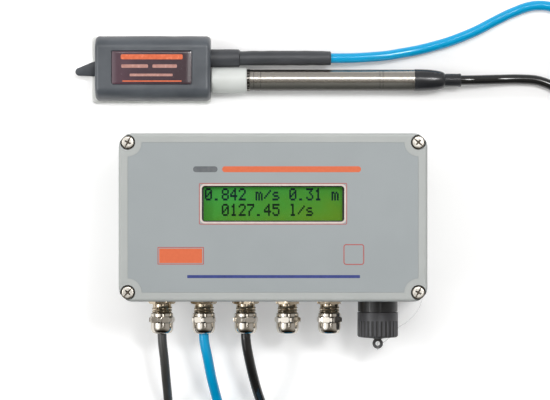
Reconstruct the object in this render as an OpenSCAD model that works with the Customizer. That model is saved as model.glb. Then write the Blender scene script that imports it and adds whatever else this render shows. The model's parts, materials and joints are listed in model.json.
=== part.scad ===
// Area-velocity flow meter: a die-cast meter box with its wired velocity probe and depth probe.
// The origin is the centre of the box's back face. X runs right, Y up the front, Z out of the front.
// Everything lies on the plane Z = 0, as the set lies on a bench.

/* [Box] */
// Length of the box along X
case_l = 220; // [200:1:260]
// Width of the box along Y
case_w = 120; // [116:1:140]
// Height of the base and cover together
case_h = 80; // [76:1:110]
// Height of the cover
cover_h = 20; // [20:1:28]
// Thickness of the cast walls
wall = 4; // [3.5:0.1:4.2]
// Radius of the box's upright corners
case_r = 10; // [8:0.5:12]
// Radius round the cover's front edge
cover_edge_r = 2.2; // [1:0.1:3]
// How far the base stands in from the cover's edge
base_inset = 1.5; // [1:0.1:1.8]
// Length of a corner column along X, from the cover's edge
column_x = 17; // [16.5:0.5:20]
// Width of a corner column along Y, from the cover's edge
column_y = 29; // [29:0.5:31]
// Depth of the recess that takes the front overlay
recess_depth = 0.5; // [0.3:0.1:0.8]
// Radius of the recess's corner round each cover screw
recess_corner_r = 10; // [8:0.5:12]

/* [Box fastenings] */
// Distance of the cover screws from both edges of the cover
screw_inset = 6.5; // [6.3:0.1:7]
// Diameter of a cover screw's head
screw_head_d = 9.7; // [9:0.1:10]
// Height of a cover screw's head
screw_head_h = 4.5; // [3.5:0.5:5.5]
// Diameter of a cover screw's shank
screw_d = 5.6; // [5:0.1:6]
// Length of a cover screw under its head
screw_len = 26; // [22:1:30]
// Distance of the wall holes from the ends of the box
fix_inset_x = 8; // [8:0.5:9]
// Distance of the wall holes from the long edges of the box
fix_inset_y = 19; // [18.5:0.5:20]
// Diameter of the wall holes
fix_d = 6.5; // [5:0.1:7]
// Diameter of the well that takes the head of a wall screw
fix_head_d = 11; // [9:0.1:11.4]
// Width of the cover's gasket
gasket_w = 2.2; // [1.8:0.1:2.4]
// Height of the cover's gasket
gasket_h = 2.6; // [2:0.1:3.5]
// Thickness of the front overlay
overlay_t = 0.4; // [0.2:0.1:0.5]

/* [Display] */
// Length of the window in the cover
window_l = 101.4; // [96:0.2:102]
// Width of the window in the cover
window_w = 25.6; // [22:0.2:27]
// Radius of the window's corners
window_r = 2.5; // [1:0.1:4]
// Height of the window's centre above the centre of the front
window_y = 9.7; // [2:0.1:14]
// Thickness of the clear pane behind the window
pane_t = 2; // [1.5:0.1:3]
// How far the pane laps the cover round the window
pane_lap = 3.2; // [2:0.1:3.6]
// Length of the display board
lcd_board_l = 122; // [120:1:130]
// Width of the display board
lcd_board_w = 44; // [43:1:48]
// Distance of the display board's holes from its edges
lcd_hole_inset = 3.2; // [3:0.1:3.5]
// Length of the display's metal bezel
lcd_bezel_l = 106; // [104:0.5:107]
// Width of the display's metal bezel
lcd_bezel_w = 34; // [30:0.5:35]
// Height of the bezel above its board
lcd_bezel_h = 9; // [8:0.5:9.5]
// Length of the display's viewing area
view_l = 99; // [92:0.5:100]
// Width of the display's viewing area
view_w = 24; // [20:0.5:25]
// Thickness of the display glass
lcd_glass_t = 2.2; // [1.6:0.1:2.8]

/* [Main board] */
// Distance of the main board from each end of the box
board_end_gap = 35; // [30:1:40]
// Distance of the main board from the box's upper edge
board_back_gap = 12; // [11:1:16]
// Distance of the main board from the box's lower edge, where the glands are
board_gland_gap = 28; // [24:1:32]
// Thickness of the circuit boards
board_t = 1.6; // [1.2:0.1:2]
// Height of the main board above the floor of the box
board_post_h = 8; // [6:0.5:12]
// Diameter of the posts that carry the boards
post_d = 7; // [6:0.5:8]
// Diameter of the small screws' shanks
small_screw_d = 2.9; // [2.5:0.1:3]
// Diameter of the small screws' heads
small_head_d = 5.5; // [5:0.1:6]

/* [Cable glands] */
// Distance of the first gland from the left end of the box
gland_inset = 29; // [28.5:0.5:32]
// Distance from the last gland to the data socket
gland_to_socket = 35.3; // [33:0.1:38]
// Height of the glands' axes above the back of the box
gland_z = 32; // [30:0.5:36]
// Width across the flats of the gland bodies and dome nuts
gland_af = 17; // [16.8:0.1:18]
// Diameter of the gland's entry thread
gland_thread_d = 15.2; // [14.6:0.1:15.4]
// Diameter of the gland's rear thread, under the dome nut
gland_rear_d = 15; // [14.6:0.1:15.2]
// Diameter of the gland's neck
gland_neck_d = 13.6; // [13:0.1:14]
// Diameter of the gland's bore
gland_bore_d = 10.6; // [10.2:0.1:11]
// Thickness of the gland's hexagon flange
gland_flange_t = 4; // [3:0.5:4.5]
// Diameter of the dome nut's round part
nut_d = 16.6; // [16.4:0.1:16.8]
// Diameter of the dome nut's flat end
nut_end_d = 11.6; // [11:0.1:12.5]
// Diameter of the dome nut's mouth
nut_mouth_d = 9.6; // [9.2:0.1:10]
// Thickness of the sealing washers under the glands and the socket
washer_t = 1; // [0.6:0.1:1.5]
// Thickness of the locknuts inside the box
locknut_t = 3; // [2.5:0.5:4]
// Diameter of the blanking plugs in the unused glands
blank_d = 7; // [5:0.1:8]

/* [Data socket] */
// Distance of the data socket from the right end of the box
socket_inset = 33.7; // [33:0.1:38]
// Diameter of the data socket's fixed flange
socket_d = 29; // [28:0.1:29.4]
// Height of the socket's flange
socket_flange_h = 9.3; // [7:0.1:10]
// Diameter of the socket's panel thread
socket_panel_d = 22; // [21:0.1:22.4]
// Diameter of the socket's front thread
socket_front_d = 24; // [23:0.1:24.4]
// Length of the socket's front thread
socket_front_h = 12.7; // [10:0.1:14]
// Diameter of the insulator in the socket
insert_d = 18.6; // [17:0.1:18.8]
// Number of pins around the socket's centre pin
pin_count = 6; // [4:1:8]
// Diameter of the cap
cap_d = 29.6; // [29:0.1:30]
// Number of flutes round the cap
flute_count = 27; // [18:1:30]
// Depth of the cap's flutes
flute_depth = 0.6; // [0.3:0.1:0.8]
// Diameter of the eye on the end of the cap
eye_d = 7.6; // [6.5:0.1:9]
// Diameter of the clear line that ties the cap to the box
line_d = 1.1; // [0.8:0.1:1.5]
// Distance of the line's anchor from the lower edge of the box
anchor_inset = 9; // [8:0.5:10]

/* [Velocity probe] */
// Distance of the velocity probe from the box
probe_gap = 23.9; // [20:0.1:40]
// Length of the velocity probe's foot
probe_l = 88; // [80:0.5:96]
// Width of the velocity probe's foot
probe_w = 49.6; // [46:0.2:50]
// Height of the velocity probe
probe_h = 22; // [19:0.5:28]
// Thickness of the probe's foot
foot_t = 4; // [2:0.5:6]
// Width of the flat on top of the probe
probe_top_w = 30; // [27:0.5:34]
// Length of the recessed label
label_l = 58.7; // [50:0.1:62]
// Width of the recessed label
label_w = 24.5; // [18:0.1:25]
// Diameter of the probe's cable boot
boot_d = 13.1; // [12:0.1:13.6]
// Diameter of the sleeve shrunk over the cable
sleeve_d = 10.8; // [10:0.1:12]
// Length of the boot outside the probe
boot_l = 21.5; // [15:0.5:24]
// Length of the shrunk sleeve
sleeve_l = 67.1; // [50:0.1:72]

/* [Depth probe] */
// Diameter of the depth probe's plastic nose
nose_d = 18.8; // [17:0.1:19.2]
// Length of the nose
nose_l = 26.2; // [22:0.2:30]
// Diameter of the depth probe's steel tube
tube_d = 15.8; // [15:0.1:16]
// Length of the steel tube
tube_l = 121.1; // [100:0.1:140]
// Thickness of the steel tube's wall
tube_wall = 1.2; // [1:0.1:1.6]
// Length of the castellated ring between nose and tube
ring_l = 2.5; // [2:0.1:4]
// Number of slots round the castellated ring
ring_slots = 20; // [12:1:24]
// Diameter of the rubber boot where it meets the tube
ogive_d = 16.2; // [16:0.1:16.6]
// Length of the boot's tapered part
ogive_l = 22.5; // [18:0.5:30]
// Length of the boot's straight sleeve
ogive_sleeve_l = 11.8; // [8:0.1:14]
// Diameter of the boot's straight sleeve
ogive_sleeve_d = 9.6; // [9.2:0.1:11]

/* [Cables] */
// Diameter of the power and output cable
power_d = 6.6; // [5.5:0.1:7]
// Diameter of the velocity probe's cable
velocity_d = 7.4; // [6.5:0.1:7.6]
// Diameter of the depth probe's cable
depth_d = 7.2; // [6.5:0.1:7.4]

/* [Hidden] */

// Clearances and small steps
slack = 0.1;
running_gap = 0.3;
cut = 1;
round_fn = 48;

// Places worked out for the box
base_edge_r = 1.5;
cavity_r = 2;
base_h = case_h - cover_h;
base_l = case_l - 2 * base_inset;
base_w = case_w - 2 * base_inset;
wall_x = base_l / 2;
wall_y = base_w / 2;
well_floor = wall + 2;
ceiling = case_h - wall;
gasket_gap = 0.9;
screw_x = case_l / 2 - screw_inset;
screw_y = case_w / 2 - screw_inset;
fix_x = case_l / 2 - fix_inset_x;
fix_y = case_w / 2 - fix_inset_y;
screw_sink = 0.8;
screw_seat = case_h - screw_sink - screw_head_h;
screw_tip = screw_seat - screw_len;
screw_head_r = 0.9;
screw_turns = [50, 20, -35, 65];
slot_w = 1.3;
slot_depth = 1.2;
cross_l = 5.4;
cross_w = 1.2;
cross_depth = 2.2;
counterbore_d = screw_head_d + 1.1;
recess_floor = case_h - recess_depth;

// Places worked out for the display
pane_l = window_l + 2 * pane_lap;
pane_w = window_w + 2 * pane_lap;
pane_bottom = ceiling - pane_t;
bezel_top = pane_bottom - running_gap;
lcd_board_top = bezel_top - lcd_bezel_h;
lcd_board_bottom = lcd_board_top - board_t;
bezel_wall = 0.8;
glass_top = bezel_top - bezel_wall;
glass_bottom = glass_top - lcd_glass_t;
lcd_hole_x = lcd_board_l / 2 - lcd_hole_inset;
lcd_hole_y = lcd_board_w / 2 - lcd_hole_inset;

// Places worked out for the main board
board_l = case_l - 2 * board_end_gap;
board_w = case_w - board_back_gap - board_gland_gap;
board_y = (board_gland_gap - board_back_gap) / 2;
board_back_y = board_y + board_w / 2;
board_front_y = board_y - board_w / 2;
board_bottom = wall + board_post_h;
board_top = board_bottom + board_t;
board_hole_inset = 5;
board_hole_x = board_l / 2 - board_hole_inset;
board_hole_y = board_w / 2 - board_hole_inset;
small_head_h = 2.2;
small_screw_len = 6;
small_cross_l = 3;
small_cross_w = 0.7;
small_cross_depth = 1;

// Pieces on the main board: chips by their place along X, distance from the upper edge and size
CHIPS = [[-12, 16, 14, 14], [2, 14, 5, 10], [12, 14, 5, 10]];
chip_h = 1.6;
driver_x = -34;
driver = [10, 5];
part_row = 20;
relay = [16, 12, 11];
relay_inset = 15;
capacitor_x = 2;
capacitor_pitch = 11;
capacitor_count = 4;
capacitor_d = 8;
capacitor_h = 11;
module_size = [34, 21, 10];
module_inset = [27, 14];
terminal_bays = 4;
terminal_pitch = 5;
terminal_clear = 4;
terminal_bay = (board_l - 2 * board_hole_inset - 2 * terminal_clear) / terminal_bays;
terminal_ways = floor((terminal_bay - 1.5) / terminal_pitch);
terminal_inset = 1.5;
terminal_depth = 10;
terminal_h = 12;
terminal_step = [3, 8];
port = [3.2, 5, 3.6];
port_z = 2;
port_screw_d = 3.4;
port_screw_y = 6.4;
port_screw_depth = 4.5;
ribbon_x = -45;
ribbon_w = 20;
ribbon_t = 1.2;
ribbon_inset = 10;
ribbon_lcd_inset = 6;
ribbon_plug_w = 5;
ribbon_plug_h = 6;
ribbon_top_plug_h = 4;

// Places along a gland, counted outward from the wall's outer face
gland_count = 5;
gland_pitch = (case_l - gland_inset - gland_to_socket - socket_inset) / (gland_count - 1);
cable_start = 9.5;
locknut_af = gland_af + 1;
nut_wall = 1.8;
gland_hex_start = washer_t;
gland_hex_end = gland_hex_start + gland_flange_t;
neck_end = gland_hex_end + 3.7;
nut_start = neck_end + 2.9;
nut_collar_end = nut_start + 2.5;
nut_hex_end = nut_collar_end + 4.3;
nut_end = nut_hex_end + 8;
rear_end = nut_hex_end + 0.6;
dome_straight = 3;
thread_inside = wall + locknut_t + 1;
seal_start = rear_end - 5;
seal_shoulder_end = nut_end - 2.1;
seal_end = nut_end - 0.5;
mouth_start = nut_end - 2;
cable_gap = 0.1;
blank_in = 0.4;
SEAL_BORES = [power_d, velocity_d, depth_d, blank_d, blank_d];

// Places along the data socket, counted outward from the wall's outer face
socket_x = case_l / 2 - socket_inset;
socket_nut_af = socket_panel_d + 5;
insert_seat = washer_t + 3;
insert_back = 5;
pin_d = 1.6;
pin_tip_in = 2;
insert_ledge = 1.5;
flange_end = washer_t + socket_flange_h;
front_end = flange_end + socket_front_h;
cap_start = flange_end + 0.6;
cap_seal_start = front_end + slack;
cap_seal_t = 1.4;
plug_start = cap_seal_start + cap_seal_t;
plug_t = 1.5;
plate_start = plug_start + plug_t + running_gap;
plate_t = 2.8;
cap_end = plate_start + plate_t;
cap_cone = 1;
stem_d = 6;
eye_t = 3.2;
eye_hole_d = 3.4;
stem_out = 0.4;
eye_in = 0.6;
eye_neck = 5;
eye_out = cap_end + cap_cone + stem_out + eye_d / 2 - eye_in;
band_l = 6.1;
cap_round = 1.6;
socket_inside = 9;
anchor_y = anchor_inset - case_w / 2;
anchor_z = gland_z;
anchor_slot_w = 1;
anchor_slot_depth = 0.8;
anchor_head_d = 6;
anchor_head_t = 2.4;
anchor_pin_d = 2.8;
anchor_pin_l = 6;

// Places worked out for the velocity probe
probe_x1 = -45.9;
probe_x0 = probe_x1 - probe_l;
probe_y = case_w / 2 + probe_gap + probe_w / 2;
end_lip = 3;
side_lip = 1.2;
right_lip = 0.5;
probe_edge_r = 2;
probe_corner_r = 2.5;
shoulder_z = 8;
lug_l = 12.2;
lug_r = 3.2;
lug_t = 7;
probe_lean = 0.6;
label_x = -89.1;
label_y = probe_y + 0.8;
label_r = 1.5;
label_depth = 1.2;
label_t = 1;
boot_y = probe_y + 8.4;
boot_z = 9;
boot_in = 7;
crystal_d = 12;
crystal_t = 2.5;
crystal_gap = 16;
crystal_inset = 16;
crystal_lean = 60;

// Places worked out for the depth probe
depth_y = probe_y - 7.9;
depth_z = nose_d / 2;
tube_bore = tube_d - 2 * tube_wall;
nose_x0 = probe_x1 + 0.4;
nose_x1 = nose_x0 + nose_l;
tube_x0 = nose_x1 + ring_l;
tube_x1 = tube_x0 + tube_l;
ogive_x1 = tube_x1 + ogive_l;
ogive_x2 = ogive_x1 + ogive_sleeve_l;
spigot_l = 6;
cell_l = 20;
cell_in = 8;
cell_rim = 1.5;
nose_edge = 0.8;
nose_port_d = 4;
nose_socket_in = 6;
ring_out = 0.4;
slot_size = [2, 1];
slot_in = 0.5;
ring_web = 0.6;
groove_depth = 0.25;
groove_w = 0.5;
groove_starts = [2.3, 7.4, tube_l - 26, tube_l - 23.6];
sleeve_hold = 12.7;
ogive_hold = 10.6;

// Routes of the cables where they aren't coiled, chosen by hand
POWER_ROUTE = [
    [-81, -68, 32], [-81, -86, 32], [-80.7, -92, 31.8], [-79.6, -102, 30.2], [-78.5, -117, 24.5],
    [-77.4, -134, 13.5], [-77.2, -150, 6.3], [-77.6, -168, 3.3], [-78.4, -186, 3.3]
];
TAIL_ROUTE = [
    [-78.4, -186, 9.9], [-78.2, -196, 9.3], [-78, -206, 7.4], [-78, -216, 5.2], [-78, -226, 3.7],
    [-78, -236, 3.3], [-78, -248, 3.3]
];
VELOCITY_A_ROUTE = [
    [-50.5, -68, 32], [-50.5, -86, 32], [-50, -92, 31.8], [-48, -102, 30.2], [-45.3, -117, 24.5],
    [-41.4, -134, 14], [-37.6, -150, 6.9], [-35.2, -168, 3.7], [-34.9, -186, 3.7], [-35.9, -234, 3.7]
];
VELOCITY_B_ROUTE = [
    [27, -296.9, 40.7], [48, -296.9, 37.4], [73, -297, 25.6], [98, -297.2, 11.2], [120, -298, 4.4],
    [140, -298.6, 3.7], [192, -299, 3.7], [209, -295.6, 3.7], [223, -286, 3.7], [232.5, -272, 3.7],
    [236, -255, 3.7], [236, -150, 3.7], [236, -20, 3.7], [236, 118, 3.7], [232, 134, 3.7],
    [222, 147, 3.7], [207, 155, 3.7], [192, 156, 3.7], [177, 151, 3.7], [163, 144.2, 3.7],
    [149.5, 137.2, 3.7], [131, 129.8, 3.7], [118, 126, 3.8], [105, 122.8, 4.5], [94, 120.8, 5.8],
    [84, 119.1, 7.2], [71, 117.9, 8.4], [58, 117.2, 9], [44, 117.1, 9], [30, 117.1, 9]
];
DEPTH_A_ROUTE = [
    [-20, -68, 32], [-20, -86, 32], [-19.6, -92, 31.8], [-17.8, -102, 30.2], [-14.5, -117, 24.5],
    [-9.8, -134, 14], [-4.6, -145, 8.4], [3.5, -153.2, 4.9], [14, -158.2, 3.7], [26, -159.8, 3.6],
    [48, -160, 3.6], [103, -160, 3.6], [161.5, -160, 3.6]
];
DEPTH_B_ROUTE = [
    [161.5, -160, 39.6], [172, -159.7, 38.9], [184, -157, 36.2], [197, -151.5, 31.2],
    [208, -143.5, 24.4], [216.5, -132.5, 17], [222, -120, 10.6], [224.6, -107, 6.2],
    [225, -94, 4], [225, -80, 3.6], [225, -10, 3.6], [225, 66, 3.6], [221.5, 81.5, 3.6],
    [211, 94, 3.6], [197, 100.5, 3.6], [182, 101.8, 3.6], [168, 101.6, 4.4], [156, 101.2, 6.8],
    [147, 100.9, 8.8], [140, 100.8, 9.4], [134, 100.8, 9.4], [128, 100.8, 9.4]
];
// Route of the clear line: a loop through the cap's eye, then round behind the cap to the anchor
LINE_ROUTE = [
    [76.3, -94.2, 28.6], [76.3, -96.1, 29.1], [76.3, -97, 30.7], [76.3, -97, 33.2],
    [76.3, -96.4, 34.5], [76.3, -95, 34.9], [76.3, -93.3, 34.4], [76.3, -93.1, 33.2],
    [76.3, -93.1, 30.8], [76.3, -92.9, 29.4], [76.6, -91.9, 26.5], [79.5, -92.6, 20.5],
    [83.5, -90.6, 15.5], [88.5, -85.8, 13.6], [92.6, -81.1, 14.2], [96.2, -78.8, 16],
    [100.4, -75.4, 19.6], [104, -71.2, 23.6], [106.6, -66.6, 27.2], [108.3, -62, 30],
    [109.2, -58, 31.5], [109.6, -54.3, 32]
];
line_loop = 10;

// Coils: middle radius of the turns in cable diameters, turns side by side, layers
POWER_WIND = [5.45, 4, 2];
PROBE_WIND = [6.5, 5, 6];
tube_sides = 10;
line_sides = 8;
core_d = 1.5;
core_l = 34;
core_rise = 1;
core_lap = 0.5;
core_count = 4;
tail_l = 62;
tail_shift = 0.4;

function gland_x(i) = gland_inset - case_l / 2 + (i - 1) * gland_pitch;
function arc(centre, r, a0, a1, steps) =
    [for (i = [0:steps]) centre + r * [cos(a0 + (a1 - a0) * i / steps), sin(a0 + (a1 - a0) * i / steps)]];
function half_section(half, h, edge) =
    concat([[0, 0], [half, 0]], arc([half - edge, h - edge], edge, 0, 90, 4), [[0, h]]);
function unit(v) = v / norm(v);
function last(list) = len(list) - 1;
function heading(route, i) = unit(route[min(i + 1, last(route))] - route[max(i - 1, 0)]);

// A route moved so that it begins and ends at two places, with the points near each end kept in line
function fitted(route, start, end, first = 2, final = 2) =
    let (a = start - route[0], b = end - route[last(route)], span = last(route) - first - final)
        [for (i = [0:last(route)]) route[i] + a + (b - a) * max(0, min(1, (i - first) / span))];
function gland_mouth(i) = [gland_x(i), -wall_y - cable_start, gland_z];
function from_gland(route, i, d) =
    let (end = route[last(route)] + gland_mouth(i) - route[0])
        fitted(route, gland_mouth(i), [end.x, end.y, d / 2]);

// The middle line of a coil's outer turn, and the height of its top layer
function coil_reach(wind, d) = (wind[0] + (wind[1] - 1) / 2) * d;
function coil_top(wind, d) = (wind[2] - 0.5) * d;

POWER_PATH = from_gland(POWER_ROUTE, 1, power_d);
POWER_END = POWER_PATH[last(POWER_PATH)];
POWER_CENTRE = [POWER_END.x - coil_reach(POWER_WIND, power_d), POWER_END.y];
TAIL_PATH = fitted(
    TAIL_ROUTE, [POWER_END.x, POWER_END.y, coil_top(POWER_WIND, power_d)],
    [POWER_END.x + tail_shift, POWER_END.y - tail_l, power_d / 2]
);
VELOCITY_A_PATH = from_gland(VELOCITY_A_ROUTE, 2, velocity_d);
VELOCITY_END = VELOCITY_A_PATH[last(VELOCITY_A_PATH)];
VELOCITY_CENTRE = [VELOCITY_END.x + coil_reach(PROBE_WIND, velocity_d), VELOCITY_END.y];
VELOCITY_B_PATH = fitted(
    VELOCITY_B_ROUTE,
    [VELOCITY_CENTRE.x, VELOCITY_CENTRE.y - coil_reach(PROBE_WIND, velocity_d),
     coil_top(PROBE_WIND, velocity_d)],
    [probe_x1 + boot_l + sleeve_l - sleeve_hold, boot_y, boot_z]
);
DEPTH_A_PATH = from_gland(DEPTH_A_ROUTE, 3, depth_d);
DEPTH_END = DEPTH_A_PATH[last(DEPTH_A_PATH)];
DEPTH_CENTRE = [DEPTH_END.x, DEPTH_END.y - coil_reach(PROBE_WIND, depth_d)];
DEPTH_B_PATH = fitted(
    DEPTH_B_ROUTE, [DEPTH_END.x, DEPTH_END.y, coil_top(PROBE_WIND, depth_d)],
    [ogive_x2 - ogive_hold, depth_y, depth_z]
);
LINE_PATH = fitted(
    LINE_ROUTE, [socket_x, -wall_y - eye_out - 2, gland_z - 3.4],
    [wall_x + 1.1, anchor_y - anchor_head_d / 2 - 0.3, anchor_z], line_loop, 1
);

// A cable's tube, with one ring of points at each point of its route
module route_tube(route, d, sides) {
    rings = len(route);
    points = [
        for (i = [0:rings - 1])
            let (ahead = heading(route, i), side = unit(cross(ahead, [0.02, 0.01, 1])))
            let (up = cross(side, ahead))
                for (k = [0:sides - 1])
                    route[i] + d / 2 * (cos(360 * k / sides) * side + sin(360 * k / sides) * up)
    ];
    skins = [
        for (i = [0:rings - 2], k = [0:sides - 1])
            let (n = (k + 1) % sides, a = i * sides, b = a + sides)
                for (face = [[a + k, a + n, b + n], [a + k, b + n, b + k]])
                    face
    ];
    start_cap = [for (k = [0:sides - 1]) sides - 1 - k];
    end_cap = [for (k = [0:sides - 1]) (rings - 1) * sides + k];
    polyhedron(points = points, faces = concat(skins, [start_cap, end_cap]), convexity = 6);
}

// The outer shape of a wound coil
module coil_solid(wind, centre, d) {
    inner = (wind[0] - wind[1] / 2) * d;
    outer = (wind[0] + wind[1] / 2) * d;
    top = wind[2] * d;
    corner = d * 0.3;
    translate([centre.x, centre.y, 0])
        rotate_extrude($fn = 2 * round_fn)
            polygon([
                [inner, corner], [inner + corner, 0], [outer - corner, 0], [outer, corner],
                [outer, top - corner], [outer - corner, top], [inner + corner, top], [inner, top - corner]
            ]);
}

module rounded_square(l, w, r) {
    square([l - 2 * r, w], center = true);
    square([l, w - 2 * r], center = true);
    for (x = [-1, 1], y = [-1, 1])
        translate([x * (l / 2 - r), y * (w / 2 - r)])
            circle(r = r, $fn = round_fn);
}

module slab(l, w, t, r) {
    linear_extrude(t) rounded_square(l, w, r);
}

// A block whose upright corners are round and whose front edge is rounded all the way round
module soft_block(l, w, h, r, edge) {
    at_corners(l / 2 - r, w / 2 - r)
        rotate_extrude($fn = round_fn)
            polygon(half_section(r, h, edge));
    for (side = [0, 1])
        rotate([90, 0, 90])
            mirror([side, 0, 0])
                linear_extrude(l - 2 * r, center = true)
                    polygon(half_section(w / 2, h, edge));
    for (side = [0, 1])
        rotate([90, 0, 0])
            mirror([side, 0, 0])
                linear_extrude(w - 2 * r, center = true)
                    polygon(half_section(l / 2, h, edge));
}

// The plan of the box's hollow, which leaves a column in each corner
module cavity_plan(grow) {
    r = cavity_r + grow;
    rounded_square(case_l - 2 * column_x + 2 * grow, case_w - 2 * (base_inset + wall) + 2 * grow, r);
    rounded_square(case_l - 2 * (base_inset + wall) + 2 * grow, case_w - 2 * column_y + 2 * grow, r);
}

module at_corners(x, y) {
    for (sx = [-1, 1], sy = [-1, 1])
        translate([sx * x, sy * y, 0])
            children();
}

// Stands children on the gland wall, with their Z pointing out of it
module on_gland_wall(x) {
    translate([x, -wall_y, gland_z])
        rotate([90, 0, 0])
            children();
}

// Lays children along X on the depth probe's axis, from the place x
module on_depth_axis(x) {
    translate([x, depth_y, depth_z])
        rotate([0, 90, 0])
            children();
}

// A hexagon whose corners are turned down at both ends, as on a nut
module hexagon(af, t) {
    corner = af / cos(30) / 2;
    turned = (corner - af / 2) * tan(30);
    intersection() {
        cylinder(h = t, r = corner, $fn = 6);
        rotate_extrude($fn = round_fn)
            polygon([
                [0, 0], [af / 2, 0], [corner + slack, turned], [corner + slack, t - turned],
                [af / 2, t], [0, t]
            ]);
    }
}

module drill(d, from, to) {
    translate([0, 0, from])
        cylinder(h = to - from, d = d, $fn = round_fn);
}

module enclosure_base() {
    color("gainsboro") difference() {
        union() {
            difference() {
                translate([0, 0, base_h])
                    mirror([0, 0, 1])
                        soft_block(base_l, base_w, base_h, case_r - base_inset, base_edge_r);
                translate([0, 0, wall])
                    linear_extrude(base_h)
                        cavity_plan(0);
            }
            translate([0, board_y, 0])
                at_corners(board_hole_x, board_hole_y)
                    drill(post_d, wall - cut, board_bottom);
        }
        translate([0, board_y, 0])
            at_corners(board_hole_x, board_hole_y)
                drill(small_screw_d + slack, board_top - small_screw_len - cut, board_bottom + cut);
        at_corners(screw_x, screw_y)
            drill(screw_d + 2 * slack, screw_tip - 2, base_h + cut);
        at_corners(fix_x, fix_y) {
            drill(fix_d, -cut, base_h);
            drill(fix_head_d, well_floor, base_h + cut);
        }
        for (i = [1:gland_count])
            on_gland_wall(gland_x(i))
                drill(gland_thread_d + 2 * slack, -wall - cut, cut);
        on_gland_wall(socket_x)
            drill(socket_panel_d + 2 * slack, -wall - cut, cut);
        translate([wall_x, anchor_y, anchor_z])
            rotate([0, 90, 0])
                drill(anchor_pin_d + 2 * slack, -anchor_pin_l - slack, cut);
    }
}

module enclosure_cover() {
    color("silver") difference() {
        union() {
            difference() {
                translate([0, 0, base_h])
                    soft_block(case_l, case_w, cover_h, case_r, cover_edge_r);
                translate([0, 0, base_h - cut])
                    linear_extrude(ceiling - base_h + cut)
                        cavity_plan(0);
            }
            translate([0, window_y, 0])
                at_corners(lcd_hole_x, lcd_hole_y)
                    drill(post_d, lcd_board_top, ceiling + cut);
        }
        translate([0, window_y, 0])
            at_corners(lcd_hole_x, lcd_hole_y)
                drill(small_screw_d + slack, lcd_board_top - cut, lcd_board_bottom + small_screw_len + cut);
        translate([0, 0, base_h - cut])
            linear_extrude(gasket_h + cut)
                gasket_plan();
        translate([0, window_y, ceiling - cut])
            slab(window_l, window_w, wall + 2 * cut, window_r);
        translate([0, 0, recess_floor])
            linear_extrude(cut)
                overlay_plan(0);
        at_corners(screw_x, screw_y) {
            drill(counterbore_d, screw_seat, case_h + cut);
            drill(screw_d + 4 * slack, base_h - cut, screw_seat + cut);
        }
    }
}

module gasket_plan() {
    difference() {
        cavity_plan(gasket_gap + gasket_w);
        cavity_plan(gasket_gap);
    }
}

module cover_gasket() {
    color("black")
        translate([0, 0, base_h])
            linear_extrude(gasket_h)
                gasket_plan();
}

module overlay_plan(inset) {
    difference() {
        square([case_l - 2 * screw_inset - 2 * inset, case_w - 2 * screw_inset - 2 * inset], center = true);
        for (x = [-1, 1], y = [-1, 1])
            translate([x * screw_x, y * screw_y])
                circle(r = recess_corner_r + inset, $fn = round_fn);
    }
}

module front_overlay() {
    color("lightsteelblue")
        translate([0, 0, recess_floor])
            linear_extrude(overlay_t)
                difference() {
                    overlay_plan(slack);
                    translate([0, window_y])
                        rounded_square(window_l, window_w, window_r);
                }
}

module cover_screw() {
    head_top = screw_seat + screw_head_h;
    difference() {
        union() {
            drill(screw_d, screw_tip, screw_seat);
            rotate_extrude($fn = round_fn)
                polygon(concat(
                    [[0, screw_seat], [screw_head_d / 2, screw_seat]],
                    arc(
                        [screw_head_d / 2 - screw_head_r, head_top - screw_head_r], screw_head_r, 0, 90, 3
                    ),
                    [[0, head_top]]
                ));
        }
        translate([0, 0, head_top]) {
            cube([screw_head_d + cut, slot_w, 2 * slot_depth], center = true);
            cube([cross_w, cross_l, 2 * cross_depth], center = true);
        }
    }
}

module cover_screws() {
    places = [[-1, 1], [1, 1], [-1, -1], [1, -1]];
    color("whitesmoke")
        for (i = [0:3])
            translate([places[i].x * screw_x, places[i].y * screw_y, 0])
                rotate(screw_turns[i])
                    cover_screw();
}

module display_window() {
    color("lightcyan")
        translate([0, window_y, pane_bottom])
            slab(pane_l, pane_w, pane_t, 1);
}

module lcd_bezel() {
    inner_l = lcd_bezel_l - 2 * bezel_wall;
    inner_w = lcd_bezel_w - 2 * bezel_wall;
    color("dimgray")
        translate([0, window_y, lcd_board_top])
            difference() {
                slab(lcd_bezel_l, lcd_bezel_w, lcd_bezel_h, 1);
                translate([-inner_l / 2, -inner_w / 2, -cut])
                    cube([inner_l, inner_w, lcd_bezel_h - bezel_wall + cut]);
                translate([-view_l / 2, -view_w / 2, 0])
                    cube([view_l, view_w, lcd_bezel_h + cut]);
            }
}

module lcd_glass() {
    glass_l = lcd_bezel_l - 2 * bezel_wall - 2 * slack;
    glass_w = lcd_bezel_w - 2 * bezel_wall - 2 * slack;
    color("yellowgreen")
        translate([-glass_l / 2, window_y - glass_w / 2, glass_bottom])
            cube([glass_l, glass_w, lcd_glass_t]);
}

module lcd_backlight() {
    light_l = lcd_bezel_l - 2 * bezel_wall - 2 * slack;
    light_w = lcd_bezel_w - 2 * bezel_wall - 2 * slack;
    color("white")
        translate([-light_l / 2, window_y - light_w / 2, lcd_board_top])
            cube([light_l, light_w, glass_bottom - lcd_board_top]);
}

module lcd_board() {
    color("darkgreen")
        difference() {
            translate([0, window_y, lcd_board_bottom])
                slab(lcd_board_l, lcd_board_w, board_t, 1);
            translate([0, window_y, 0])
                at_corners(lcd_hole_x, lcd_hole_y)
                    drill(small_screw_d + 2 * slack, lcd_board_bottom - cut, lcd_board_top + cut);
        }
}

// A pan-head screw whose head rests on the plane Z = 0 and whose shank points down
module small_screw() {
    difference() {
        union() {
            drill(small_screw_d, -small_screw_len, 0);
            drill(small_head_d, 0, small_head_h);
        }
        translate([0, 0, small_head_h])
            for (a = [0, 90])
                rotate(a)
                    cube([small_cross_l, small_cross_w, 2 * small_cross_depth], center = true);
    }
}

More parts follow.
